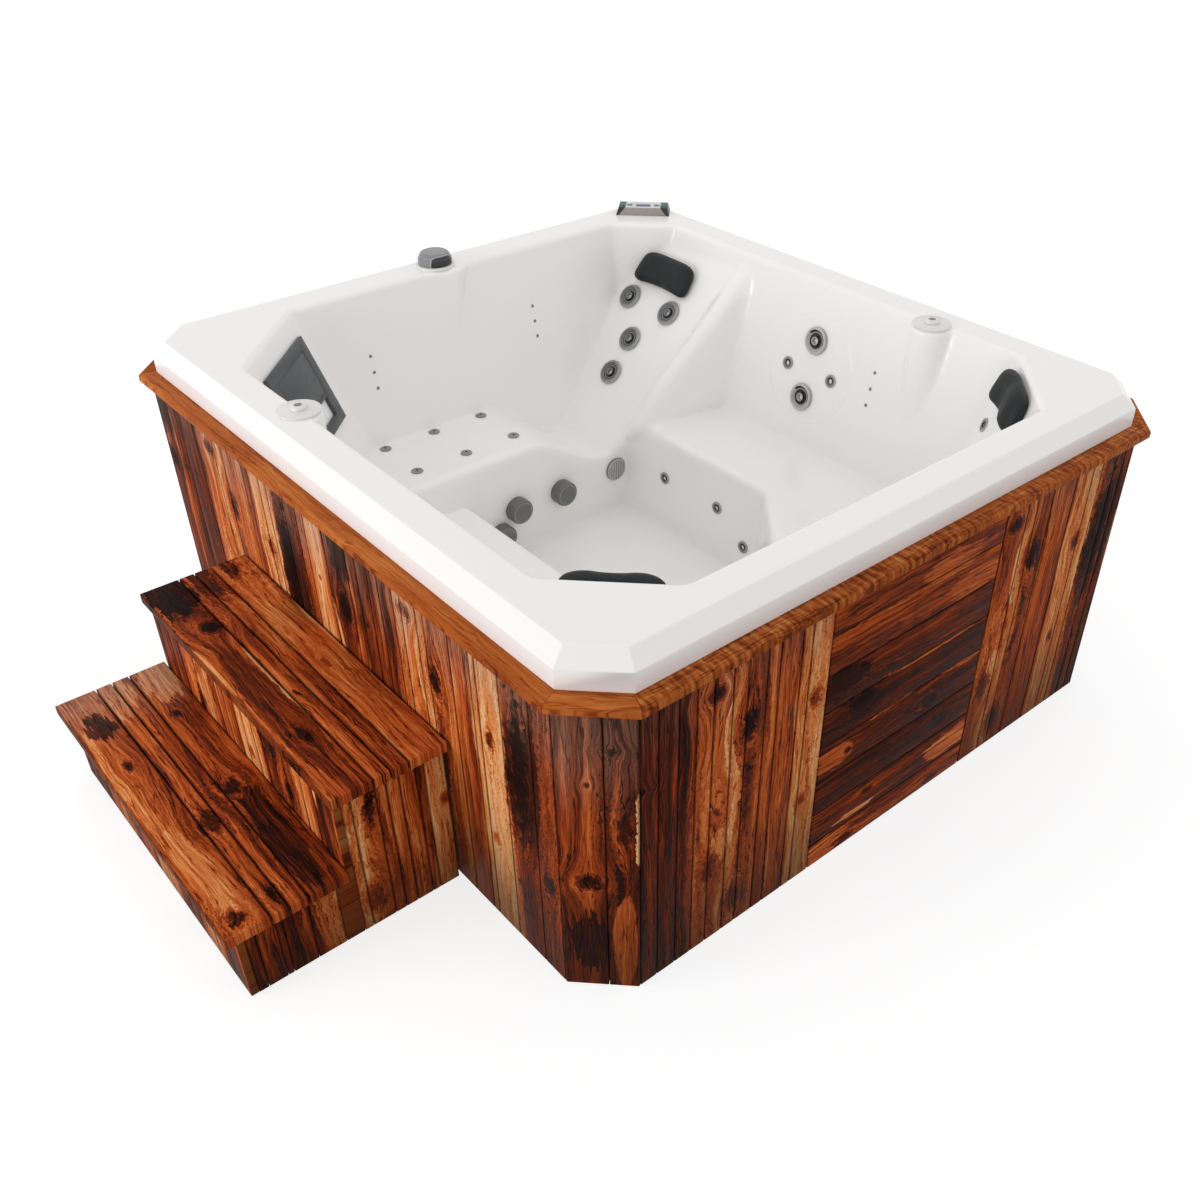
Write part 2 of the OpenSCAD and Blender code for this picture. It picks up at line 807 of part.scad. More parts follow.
module large_jet_body() {
    difference() {
        union() {
            disc(jet_r - flange_in, 0, flange_t);
            disc(jet_barrel_r, -jet_back, 0.1);
            disc(jet_barrel_r + nut_over, -nut_seat - nut_t, -nut_seat);
            translate([-barb_l, 0, -jet_back + barb_up])
                rotate([0, 90, 0])
                    cylinder(r = barb_r, h = 2 * barb_l);
        }
        disc(jet_bore_r, -jet_back + jet_floor, flange_t + 1);
        translate([-barb_l - 1, 0, -jet_back + barb_up])
            rotate([0, 90, 0])
                cylinder(r = barb_r - barb_wall, h = 2 * barb_l + 2);
    }
}

module large_jet_bodies() {
    color("#d8d8d6")
        for (site = large_sites)
            at_site(site)
                large_jet_body();
}

// A turning bezel: a stepped ring with a barrel that turns in the body and a nozzle
module jet_bezel(i) {
    face_z = flange_t + axial_gap;
    color("#8f9194")
        at_site(large_sites[i])
            rotate_extrude()
                polygon([
                    [9, -jet_stem], [jet_bore_r - run_fit, -jet_stem], [jet_bore_r - run_fit, face_z],
                    [jet_r - 1.5, face_z], [jet_r, face_z + 2], [jet_r - 4, face_z + 7],
                    [jet_r - 11, face_z + 7], [jet_r - 14, face_z + 2], [16, face_z + 1],
                    [15, face_z + 6], [11, face_z + 7], [9, face_z + 5]
                ]);
}

mini_back = 60;
mini_floor = 10;
mini_bore_r = 7;
mini_nut_over = 8;
mini_groove_w = 6.5;
mini_groove_t = 1.5;

module small_jet() {
    difference() {
        union() {
            disc(mini_r, 0, flange_t);
            disc(mini_barrel_r, -mini_back, 0.1);
            disc(mini_barrel_r + mini_nut_over, -nut_seat - nut_t, -nut_seat);
        }
        disc(mini_bore_r, mini_floor - mini_back, flange_t + 1);
        tube(mini_r - 4, mini_r - 4 - mini_groove_w, flange_t - mini_groove_t, flange_t + 1);
    }
}

module small_jets() {
    color("#9a9b9c")
        for (site = small_sites)
            at_site(site)
                small_jet();
}

injector_back = 42;
injector_bore_r = 3;

module air_injectors() {
    color("#8a8a88")
        for (site = injector_sites)
            at_site(site) {
                difference() {
                    union() {
                        disc(injector_r, 0, 3);
                        disc(injector_r - 5, 0, 5);
                        disc(injector_barrel_r, -injector_back, 0.1);
                    }
                    disc(injector_bore_r, 2 - injector_back, 6);
                }
            }
}

dot_back = 26;

module light_points() {
    color("#8d8d8b")
        for (site = dot_sites)
            at_site(site) {
                disc(dot_r, 0, 1.5);
                disc(dot_barrel_r, -dot_back, 0.1);
            }
}

suction_back = 74;
suction_wall = 5;
thin_nut_over = 10;

module suction_bodies() {
    color("#c8c8c6")
        for (site = suction_sites)
            at_site(site) {
                difference() {
                    union() {
                        disc(suction_barrel_r, -suction_back, 0);
                        disc(suction_barrel_r + thin_nut_over, -nut_seat - nut_t, -nut_seat);
                    }
                    disc(suction_barrel_r - suction_wall, -suction_back - 1, 1);
                }
            }
}

module suction_covers() {
    color("#7c7d7e")
        for (site = suction_sites)
            at_site(site)
                rotate_extrude()
                    polygon(concat(
                        [[0, suction_h], [0, suction_h - 4], [suction_r - 5, suction_h - 6],
                         [suction_r - 4, 0], [suction_r, 0]],
                        arc(suction_r - 9, suction_h - 9, 9, 0, 90)
                    ));
}

light_back = 58;
light_wall = 4;
lens_t = 9;

module light_housing() {
    color("#c8c8c6")
        at_site(light_site) {
            difference() {
                union() {
                    disc(light_barrel_r, -light_back, 0);
                    disc(light_barrel_r + thin_nut_over, -nut_seat - nut_t, -nut_seat);
                }
                disc(light_barrel_r - light_wall, light_wall - light_back, 1);
            }
        }
}

module light_lens() {
    color("#b4b5b5")
        at_site(light_site)
            rotate_extrude()
                polygon(concat([[0, 0], [lens_r, 0]], arc(lens_r - 4, 4, 4, 0, 90), [[0, lens_t]]));
}

// Skimmer: a plate on the corner wall, a hinged weir flap in its mouth, and the filter behind

duct_d = 96;
duct_t = 4;
can_top = 60;
can_bottom = -260;
can_floor = 6;
filter_bore_r = 24;
filter_down = 110;
flap_t = 4;
flap_gap = 1;
flap_pin_r = 3;
flap_w = mouth_w - 2 * duct_t - 2 * flap_gap;
flap_y = mouth_y - mouth_h / 2 + duct_t + flap_gap + flap_pin_r;
flap_h = mouth_h - 2 * duct_t - 2 * flap_gap - flap_pin_r;
can_out = shell_t + duct_d + can_r - 20;

// Filter canister axis: upright, behind the wall at the skimmer's place
module at_canister() {
    p = skim_site[0];
    n = outward(skim_site[1]);
    translate([p[0] + n[0] * can_out, p[1] + n[1] * can_out, p[2]])
        children();
}

module skimmer_duct(inner) {
    t = inner ? duct_t : 0;
    at_site(skim_site)
        translate([-mouth_w / 2 + t, mouth_y - mouth_h / 2 + t, -duct_d - (inner ? can_r / 2 : can_r / 3)])
            cube([mouth_w - 2 * t, mouth_h - 2 * t, duct_d + (inner ? can_r : can_r / 3)]);
}

module skimmer_canister() {
    color("#b9bab9")
        difference() {
            union() {
                difference() {
                    skimmer_duct(false);
                    at_canister()
                        disc(can_r - duct_t, can_bottom + can_floor, can_top + 1);
                }
                at_canister()
                    tube(can_r, can_r - duct_t, can_bottom, can_top);
                at_canister()
                    disc(can_r, can_bottom, can_bottom + can_floor);
            }
            skimmer_duct(true);
            for (s = [-1, 1])
                at_site(skim_site)
                    translate([s * mouth_w / 2, flap_y, -flap_t / 2 - 2])
                        rotate([0, 90, 0])
                            cylinder(r = flap_pin_r + run_fit, h = 3 * duct_t, center = true);
        }
}

module filter_cartridge() {
    color("#e6e6ea")
        at_canister()
            tube(filter_r, filter_bore_r, can_bottom + can_floor, can_top - filter_down);
}

door_w = 222;
door_h = 132;
door_y = 34;
door_groove = 3;

module skimmer_plate() {
    color("#4b4f51")
        at_site(skim_site)
            difference() {
                translate([-skim_w / 2, -skim_h / 2, 0])
                    cube([skim_w, skim_h, skim_t]);
                translate([-mouth_w / 2 + duct_t, mouth_y - mouth_h / 2 + duct_t, -1])
                    cube([mouth_w - 2 * duct_t, mouth_h - 2 * duct_t, skim_t + 2]);
                translate([-door_w / 2, door_y - door_h / 2, skim_t - 2])
                    difference() {
                        cube([door_w, door_h, 3]);
                        translate([door_groove, door_groove, -1])
                            cube([door_w - 2 * door_groove, door_h - 2 * door_groove, 5]);
                    }
            }
}

// The flap stands across the mouth behind the plate and turns on two pins at its lower edge
module weir_flap() {
    color("#54585a")
        at_site(skim_site)
            translate([0, flap_y, -flap_t / 2 - 2]) {
                translate([-flap_w / 2, 0, -flap_t / 2])
                    cube([flap_w, flap_h, flap_t]);
                rotate([0, 90, 0])
                    cylinder(r = flap_pin_r, h = mouth_w - 2, center = true);
            }
}

// Diverter and air valves on the rim

ring_t = 7;
stem_r = 12;
stem_l = 50;
diverter_deep = 120;
diverter_port_r = 24;
diverter_port_l = 140;
ring_tuck = 22;

module at_rim(at) {
    translate([at[0], at[1], rim_z])
        children();
}

module diverter_body() {
    color("#d0d0ce")
        at_rim(diverter_at)
            difference() {
                union() {
                    disc(diverter_barrel_r, -diverter_deep, 0);
                    disc(diverter_barrel_r + mini_nut_over, -nut_seat - nut_t, -nut_seat);
                    translate([0, 0, -diverter_deep + diverter_port_r])
                        rotate([90, 0, 0])
                            cylinder(r = diverter_port_r, h = diverter_port_l, center = true);
                }
                disc(stem_r + run_fit, -stem_l - 10, 1);
            }
}

module diverter_ring() {
    color("#efedea")
        at_rim(diverter_at)
            rotate_extrude()
                polygon([[diverter_r - ring_tuck, 0], [diverter_ring_r, 0], [diverter_ring_r - 3, ring_t],
                         [diverter_r - ring_tuck, ring_t]]);
}

module diverter_cap() {
    color("#77797b")
        at_rim(diverter_at)
            rotate_extrude()
                polygon(concat(
                    [[0, -stem_l], [stem_r, -stem_l], [stem_r, ring_t + axial_gap]],
                    [[diverter_r, ring_t + axial_gap]],
                    [[diverter_r, ring_t + diverter_h * 0.55]],
                    arc(diverter_r - 18, ring_t + diverter_h - 14, 14, 0, 90),
                    [[0, ring_t + diverter_h]]
                ));
}

valve_disc_t = 5;
valve_hub_t = 7;
valve_back = 95;
valve_stem_r = 8;
valve_stem_l = 45;

module air_valve_bodies() {
    color("#d0d0ce")
        for (at = [valve_near_at, valve_far_at])
            at_rim(at)
                difference() {
                    union() {
                        disc(valve_barrel_r, -valve_back, 0);
                        disc(valve_barrel_r + nut_over, -nut_seat - nut_t, -nut_seat);
                    }
                    disc(valve_stem_r + run_fit, -valve_stem_l - 5, 1);
                }
}

module air_valve_discs() {
    color("#f0eeeb")
        for (at = [valve_near_at, valve_far_at])
            at_rim(at)
                difference() {
                    union() {
                        disc(valve_r, 0, valve_disc_t);
                        disc(valve_knob_r + 6, 0, valve_hub_t);
                    }
                    disc(valve_knob_r - 4, -1, valve_hub_t + 1);
                }
}

module air_knob(at) {
    color("#8b8987")
        at_rim(at)
            rotate_extrude()
                polygon([[0, -valve_stem_l], [valve_stem_r, -valve_stem_l],
                         [valve_stem_r, valve_hub_t + axial_gap],
                         [valve_knob_r, valve_hub_t + axial_gap],
                         [valve_knob_r - 1, valve_hub_t + 5], [valve_knob_r - 6, valve_hub_t + 9],
                         [0, valve_hub_t + 10]]);
}

module air_knob_steps_side() {
    air_knob(valve_near_at);
}

module air_knob_far_side() {
    air_knob(valve_far_at);
}

// Control panel on the rim behind the lounger's head

topside_ledge = 90.27;
topside_out = basin_walls[HEAD][1] + topside_ledge + topside_d / 2;
topside_along = -55;
topside_wall = 3;
topside_end = 12;
button_w = 17;
button_d = 13;
button_fit = 0.3;
button_travel = 1;
button_shoulder = 1.5;
button_x = [-68, -46, 46, 68];
screen_w = 50;
screen_d = 26;
board_z = topside_h - 10;

module at_topside() {
    p = outward(45) * topside_out + along(45) * topside_along;
    translate([p[0], p[1], rim_z])
        rotate([0, 0, 45])
            children();
}

module topside_housing() {
    color("#6e6d6c")
        at_topside()
            difference() {
                rotate([90, 0, 0])
                    translate([0, 0, -topside_d / 2])
                        linear_extrude(topside_d)
                            polygon([[-topside_w / 2, 0], [topside_w / 2, 0],
                                     [topside_w / 2 - 8, topside_h], [-topside_w / 2 + 8, topside_h]]);
                translate([-topside_w / 2 + topside_end, -topside_d / 2 + topside_wall, -1])
                    cube([topside_w - 2 * topside_end, topside_d - 2 * topside_wall, board_z - 1]);
                for (x = button_x)
                    translate([x - button_w / 2 - button_fit, -button_d / 2 - button_fit, 0])
                        cube([button_w + 2 * button_fit, button_d + 2 * button_fit, topside_h + 1]);
                translate([-screen_w / 2, -screen_d / 2, topside_h - 2])
                    cube([screen_w, screen_d, 3]);
            }
}

module topside_screen() {
    color("#1c2f6a")
        at_topside()
            translate([-screen_w / 2, -screen_d / 2, topside_h - 2])
                cube([screen_w, screen_d, 2.4]);
}

// A key is held by a shoulder under the housing's top and stands proud of it
module button(i) {
    color("#3f8aa0")
        at_topside()
            translate([button_x[i], 0, 0]) {
                translate([-button_w / 2, -button_d / 2, board_z - 3])
                    cube([button_w, button_d, topside_h - board_z + 3 + button_travel + 0.6]);
                translate([-button_w / 2 - button_shoulder, -button_d / 2 - button_shoulder, board_z - 5])
                    cube([button_w + 2 * button_shoulder, button_d + 2 * button_shoulder, 2.7]);
            }
}

module button_1() {
    button(0);
}

module button_2() {
    button(1);
}

module button_3() {
    button(2);
}

module button_4() {
    button(3);
}

// Pillows: flat at the back, drawn in at the sides, with two crowned lobes and a hollow for
// the neck. The outline is rounded, narrower at the top and notched at the bottom.
pillow_sides = 56;
pillow_rings = 11;
pillow_taper = 0.13;
pillow_notch = 11;
pillow_bow = 5;
pillow_power = 0.42;
pillow_edge = 0.34;
pillow_tuck = -52;
pillow_dip = 0.34;
neck_w = 42;

function signed_power(v, p) = sign(v) * pow(abs(v), p);
function pillow_edge_point(a) =
    let (u = signed_power(cos(a), pillow_power), v = signed_power(sin(a), pillow_power), w = cos(90 * u))
    [pillow_w / 2 * u * (1 - pillow_taper * (v + 1) / 2),
     pillow_h / 2 * v + (v > 0 ? pillow_bow : pillow_notch) * (w - 0.5) * abs(v)];
// Share of the full outline and of the full thickness at a ring, from the back to the crown
function ring_turn(k) = pillow_tuck + (90 - pillow_tuck) * min(1, k / (pillow_rings - 3));
function ring_share(k) =
    (1 - pillow_edge + pillow_edge * cos(ring_turn(k)))
    * (k <= pillow_rings - 3 ? 1 : (pillow_rings - k) / 3.4);
function ring_rise(k) = (sin(ring_turn(k)) - sin(pillow_tuck)) / (1 - sin(pillow_tuck));
function neck(x, y) = 1 - pillow_dip * exp(-pow(x / neck_w, 2)) * (0.75 - y / pillow_h);
function pillow_point(k, j) =
    let (e = pillow_edge_point(360 * j / pillow_sides) * ring_share(k), crown = 1 - 0.12 * norm(e) / pillow_w)
    [e[0], e[1], soft_gap + pillow_t * ring_rise(k) * neck(e[0], e[1]) * crown];

module pillow() {
    n = pillow_sides;
    color("#33373a")
        polyhedron(
            points = concat(
                [for (k = [0 : pillow_rings - 1], j = [0 : n - 1]) pillow_point(k, j)],
                [[0, 0, soft_gap], [0, 0, soft_gap + pillow_t * neck(0, 0)]]
            ),
            faces = concat(
                [for (k = [0 : pillow_rings - 2], j = [0 : n - 1])
                    [k * n + j, (k + 1) * n + j, k * n + (j + 1) % n]],
                [for (k = [0 : pillow_rings - 2], j = [0 : n - 1])
                    [(k + 1) * n + j, (k + 1) * n + (j + 1) % n, k * n + (j + 1) % n]],
                [for (j = [0 : n - 1]) [n * pillow_rings, j, (j + 1) % n]],
                [for (j = [0 : n - 1])
                    [n * pillow_rings + 1, (pillow_rings - 1) * n + (j + 1) % n, (pillow_rings - 1) * n + j]]
            )
        );
}

pillow_z = rim_z - 65;
pillow_head_site = back_site(spine_x + 9, hip_z + 452);
pillow_right_site = wall_site(RIGHT, middle(RIGHT, pillow_z) - 14, pillow_z);
pillow_front_site = wall_site(FRONT, middle(FRONT, pillow_z), pillow_z);

module pillow_head() {
    at_site(pillow_head_site)
        pillow();
}

module pillow_right() {
    at_site(pillow_right_site)
        pillow();
}

module pillow_front() {
    at_site(pillow_front_site)
        pillow();
}

// Equipment behind the access panel. The pump lies along Y on a foot.

pump_in = 332;
pump_axis_h = 118;
pump_x = cab_x - pump_in;
pump_z = pan_t + pump_axis_h;
pump_y0 = -225;
wet_r = 92;
wet_l = 84;
wet_wall = 6;
motor_r = 80;
motor_l = 230;
shaft_r = 8;
impeller_r = 74;
impeller_l = 26;
port_r = 30;
port_l = 40;
port_wall = 5;
fin_h = 6;
fin_t = 4;
foot_w = 180;
foot_in = 30;

module at_pump() {
    translate([pump_x, pump_y0, pump_z])
        rotate([-90, 0, 0])
            children();
}

module pump_housing() {
    color("#2f3133")
        difference() {
            union() {
                at_pump()
                    disc(wet_r, 0, wet_l);
                at_pump()
                    disc(port_r, -port_l, 1);
                translate([pump_x, pump_y0 + wet_l / 2, pump_z])
                    cylinder(r = port_r, h = wet_r + port_l);
            }
            at_pump()
                disc(wet_r - wet_wall, wet_wall, wet_l - wet_wall);
            at_pump()
                disc(port_r - port_wall, -port_l - 1, wet_l / 2);
            at_pump()
                disc(shaft_r + run_fit, 0, wet_l + 1);
            translate([pump_x, pump_y0 + wet_l / 2, pump_z])
                cylinder(r = port_r - port_wall, h = wet_r + port_l + 1);
        }
}

module pump_motor() {
    color("#4a4d52")
        at_pump()
            difference() {
                union() {
                    disc(motor_r, wet_l, wet_l + motor_l);
                    for (i = [0 : 11])
                        rotate([0, 0, i * 30])
                            translate([motor_r - 2, -fin_t / 2, wet_l + 20])
                                cube([fin_h + 2, fin_t, motor_l - 60]);
                }
                disc(shaft_r + run_fit, wet_l - 1, wet_l + motor_l - 20);
            }
}

module pump_rotor() {
    color("#9c9ea0")
        at_pump() {
            disc(shaft_r, wet_l / 2, wet_l + motor_l - 24);
            disc(impeller_r, wet_l / 2, wet_l / 2 + 5);
            for (i = [0 : 5])
                rotate([0, 0, i * 60])
                    translate([10, -2, wet_l / 2 - impeller_l + 8])
                        cube([impeller_r - 14, 4, impeller_l - 7]);
            disc(14, wet_l / 2 - impeller_l + 8, wet_l / 2 + 1);
        }
}

module pump_foot() {
    color("#2b2c2e")
        difference() {
            translate([pump_x - foot_w / 2, pump_y0 + wet_l + foot_in, pan_t])
                cube([foot_w, motor_l - 70, pump_axis_h - motor_r / 2]);
            at_pump()
                disc(motor_r + fin_h + 0.5, wet_l, wet_l + motor_l);
        }
}

heater_r = 30;
heater_l = 320;
heater_up = 48;
heater_in = 60;
collar_l = 24;
collar_h = 10;
heater_x = pump_x;
heater_z = pump_z + wet_r + port_l + heater_up;
heater_y0 = pump_y0 + wet_l / 2;

module heater_tube() {
    color("#b8babc")
        translate([heater_x, heater_y0 + heater_in, heater_z])
            rotate([-90, 0, 0]) {
                difference() {
                    union() {
                        disc(heater_r, 0, heater_l);
                        for (z = [0, heater_l - collar_l])
                            disc(heater_r + collar_h, z, z + collar_l);
                    }
                    disc(pipe_r - 3, -1, heater_l + 1);
                }
            }
}

box_in = 222;
box_size = [110, 220, 260];
box_wall = 4;
box_x = cab_x - box_in;
box_y = 0;

module control_box() {
    color("#5a5d61")
        translate([box_x, box_y, pan_t])
            difference() {
                cube(box_size);
                translate([box_wall, box_wall, box_wall])
                    cube(box_size - 2 * [box_wall, box_wall, box_wall]);
            }
}

blower_in = 162;
blower_x = cab_x - blower_in;
blower_y = -180;
blower_r = 75;
blower_wall = 4;
blower_base = 12;
blower_h = 150;
fan_r = 62;
fan_h = 44;
fan_shaft_r = 6;
fan_z = 60;
fan_hub_r = 34;
cowl_h = 40;
outlet_r = 24;

module blower_housing() {
    color("#3d4043")
        translate([blower_x, blower_y, pan_t])
            difference() {
                union() {
                    disc(blower_r, 0, blower_h);
                    disc(blower_r - 20, blower_h, blower_h + cowl_h);
                    disc(outlet_r, blower_h + cowl_h, blower_h + 2 * cowl_h);
                }
                disc(blower_r - blower_wall, blower_base, blower_h - blower_wall);
                disc(outlet_r - blower_wall, blower_h - cowl_h, blower_h + 2 * cowl_h + 1);
                disc(fan_shaft_r + run_fit, 2, blower_base + 1);
            }
}

// A motor drum on a shaft that turns in the housing's base, with a wheel of blades round it
module blower_fan() {
    color("#8f9194")
        translate([blower_x, blower_y, pan_t]) {
            disc(fan_shaft_r, 2 + axial_gap, fan_z);
            disc(fan_hub_r, blower_base + 4, fan_z);
            disc(fan_r, fan_z, fan_z + 3);
            for (i = [0 : 11])
                rotate([0, 0, i * 30])
                    translate([20, -1.5, fan_z + 2])
                        cube([fan_r - 22, 3, fan_h - 2]);
            disc(22, fan_z, fan_z + fan_h / 2);
        }
}

// Rigid pipes: suction to the pump, pump to heater, and heater to the jets' manifold
pipe_r = 25;

module pipe(from, to) {
    v = to - from;
    translate(from)
        rotate([0, acos(v[2] / norm(v)), atan2(v[1], v[0])])
            cylinder(r = pipe_r, h = norm(v));
}

module pipe_run(points) {
    for (i = [0 : len(points) - 2])
        pipe(points[i], points[i + 1]);
    for (i = [1 : len(points) - 2])
        translate(points[i])
            sphere(r = pipe_r);
}

suction_end = suction_sites[0][0] - [suction_back, 0, 0];
suction_drop = 60;
duct_y = -420;
duct_z = 70;
manifold_y = 600;
manifold_x = -560;

module water_pipes() {
    color("#dfe0e0") {
        pipe_run([
            suction_end, suction_end - [suction_drop, 0, 0],
            [suction_end[0] - suction_drop, duct_y, suction_end[2]],
            [suction_end[0] - suction_drop, duct_y, duct_z], [pump_x, duct_y, duct_z],
            [pump_x, duct_y, pump_z], [pump_x, pump_y0 - port_l, pump_z]
        ]);
        pipe_run([
            [pump_x, heater_y0, pump_z + wet_r + port_l], [heater_x, heater_y0, heater_z],
            [heater_x, heater_y0 + heater_in, heater_z]
        ]);
        pipe_run([
            [heater_x, heater_y0 + heater_in + heater_l, heater_z], [heater_x, manifold_y, heater_z],
            [manifold_x, manifold_y, heater_z]
        ]);
    }
}

drain_in = 100;
drain_back = 60;
drain_h = 30;
drain_stem_r = 14;
drain_r = 16;

module drain_valve() {
    color("#b8382c")
        translate([post_x - drain_in, panel_hi - drain_back, pan_t]) {
            disc(drain_stem_r, 0, drain_h);
            translate([-20, 0, drain_h])
                rotate([0, 90, 0])
                    cylinder(r = drain_r, h = 60);
        }
}

// Steps

tread_over = 22;
body_l = tread_l - 2 * tread_over;
step_back = -cab_y - step_gap;
upper_front = step_back - tread_d;
upper_riser = upper_front + nosing / 2;
lower_front = upper_riser - tread_d;
lower_riser = lower_front + nosing;
step_t = 18;
foot = 40;
tread_gap = 3;
tread_share = [0.36, 0.145, 0.155, 0.34];
post_back = step_back - 4;
step_low = 0;

module tread(front, top) {
    for (i = [0 : len(tread_share) - 1])
        translate([step_x - tread_l / 2, front + sum(tread_share, i) * tread_d + tread_gap / 2,
                   top - tread_t])
            cube([tread_l, tread_share[i] * tread_d - tread_gap, tread_t]);
}

module step_treads() {
    color("#6f2c14") {
        tread(upper_front, 2 * rise);
        tread(lower_front, rise);
    }
}

module step_sides_and_risers() {
    x0 = step_x - body_l / 2;
    color("#84391a") {
        translate([x0, lower_riser, step_low])
            board_run(body_l, riser_widths, step_t, rise - tread_t);
        translate([x0, upper_riser, rise - tread_t])
            board_run(body_l, riser_widths, step_t, rise);
        for (x = [x0 + step_t, x0 + body_l])
            translate([x, 0, step_low])
                rotate([0, 0, 90]) {
                    translate([upper_riser + step_t, 0, 0])
                        board_run(post_back - upper_riser - step_t, upper_side_widths, step_t,
                                  2 * rise - tread_t);
                    translate([lower_riser + step_t, 0, 0])
                        board_run(upper_riser - lower_riser, lower_side_widths, step_t, rise - tread_t);
                }
    }
}

module step_frame() {
    x0 = step_x - body_l / 2 + step_t;
    y0 = lower_riser + step_t;
    inner = body_l - 2 * step_t;
    color("#b89468") {
        for (x = [x0, step_x - foot / 2, x0 + inner - foot]) {
            translate([x, y0, step_low])
                cube([foot, foot, rise - tread_t]);
            translate([x, upper_riser + step_t, step_low])
                cube([foot, foot, 2 * rise - tread_t]);
            translate([x, post_back - foot, step_low])
                cube([foot, foot, 2 * rise - tread_t]);
            translate([x, y0 + foot, rise - tread_t - foot])
                cube([foot, upper_riser + step_t - y0 - foot, foot]);
            translate([x, upper_riser + step_t + foot, 2 * rise - tread_t - foot])
                cube([foot, post_back - 2 * foot - upper_riser - step_t, foot]);
        }
    }
}

base_pan();
frame_rails();
frame_posts();
footwell_bearers();
boards_steps_side();
boards_lounger_side();
boards_far_side();
boards_panel_side();
corner_boards();
access_boards();
access_battens();
top_trim();
acrylic_shell();
large_jet_bodies();
jet_bezel(0);  // jet_bezel_back_left
jet_bezel(1);  // jet_bezel_back_right
jet_bezel(2);  // jet_bezel_back_middle
jet_bezel(3);  // jet_bezel_back_low
jet_bezel(4);  // jet_bezel_wall_high
jet_bezel(5);  // jet_bezel_wall_low
small_jets();
air_injectors();
light_points();
suction_bodies();
suction_covers();
light_housing();
light_lens();
skimmer_canister();
skimmer_plate();
weir_flap();
filter_cartridge();
diverter_body();
diverter_ring();
diverter_cap();
air_valve_bodies();
air_valve_discs();
air_knob_steps_side();
air_knob_far_side();
topside_housing();
topside_screen();
button_1();
button_2();
button_3();
button_4();
pillow_head();
pillow_right();
pillow_front();
pump_housing();
pump_motor();
pump_rotor();
pump_foot();
heater_tube();
control_box();
blower_housing();
blower_fan();
water_pipes();
drain_valve();
step_frame();
step_sides_and_risers();
step_treads();
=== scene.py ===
import json
import random
from contextlib import contextmanager
from math import asin, atan, cos, degrees, pi, radians, sin, sqrt, tan

import bpy
import numpy as np
from mathutils import Matrix, Vector


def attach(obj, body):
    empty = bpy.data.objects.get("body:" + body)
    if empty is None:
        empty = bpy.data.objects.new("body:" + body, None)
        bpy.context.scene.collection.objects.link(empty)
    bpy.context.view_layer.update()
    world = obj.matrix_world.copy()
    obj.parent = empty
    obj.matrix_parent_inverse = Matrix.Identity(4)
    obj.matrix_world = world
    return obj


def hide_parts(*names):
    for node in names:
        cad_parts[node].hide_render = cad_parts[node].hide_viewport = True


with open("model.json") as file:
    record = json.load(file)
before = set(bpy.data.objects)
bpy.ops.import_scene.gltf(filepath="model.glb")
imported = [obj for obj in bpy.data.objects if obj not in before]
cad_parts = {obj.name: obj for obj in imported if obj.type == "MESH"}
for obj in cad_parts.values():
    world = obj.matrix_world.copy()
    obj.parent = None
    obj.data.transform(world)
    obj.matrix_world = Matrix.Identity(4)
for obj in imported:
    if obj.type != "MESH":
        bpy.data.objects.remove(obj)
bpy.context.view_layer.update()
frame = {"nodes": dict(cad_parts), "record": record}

scene = bpy.context.scene
scene.view_settings.view_transform = "Standard"
NODES = frame["nodes"]
BODY_OF = {node: body for body, group in frame["record"]["behaviour"]["bodies"].items() for node in group}

# Camera and light

# turn, tilt down and roll in degrees
CAMERA_ANGLES = (49.3613, 37.1248, 0.1235)
CAMERA_AT = (2.3153, -1.9115, 2.2377)
CAMERA_LENS = 36.34
CAMERA_SHIFT = (-0.0405, 0.0361)
# strength of the soft room, and how the floor looks: grey in shade, grey where seen, and its glow
ROOM_LIGHT = 0.775
FLOOR_SHADED, FLOOR_SEEN, FLOOR_GLOW = 0.58, 0.33, 0.76


def linked(name, data):
    """A new object in the scene."""
    ob = bpy.data.objects.new(name, data)
    scene.collection.objects.link(ob)
    return ob


def place_camera():
    """The photograph's camera, solved from its straight edges."""
    data = bpy.data.cameras.new("photo_camera")
    camera = linked("photo_camera", data)
    turn, tilt, roll = (radians(v) for v in CAMERA_ANGLES)
    back = Vector((sin(turn) * cos(tilt), -cos(turn) * cos(tilt), sin(tilt)))
    right = Vector((0, 0, 1)).cross(back).normalized()
    up = back.cross(right)
    across = right * cos(roll) + up * sin(roll)
    upward = up * cos(roll) - right * sin(roll)
    place = Matrix((across, upward, back)).transposed().to_4x4()
    place.translation = CAMERA_AT
    camera.matrix_world = place
    data.sensor_width, data.lens = 36, CAMERA_LENS
    data.shift_x, data.shift_y = CAMERA_SHIFT
    scene.camera = camera


def lamp(name, where, aim, size, power):
    """A round soft lamp that looks at a point."""
    data = bpy.data.lights.new(name, "AREA")
    data.shape = "DISK"
    data.size = size
    data.energy = power
    light = linked(name, data)
    light.location = where
    light.rotation_euler = (Vector(aim) - Vector(where)).to_track_quat("-Z", "Y").to_euler()


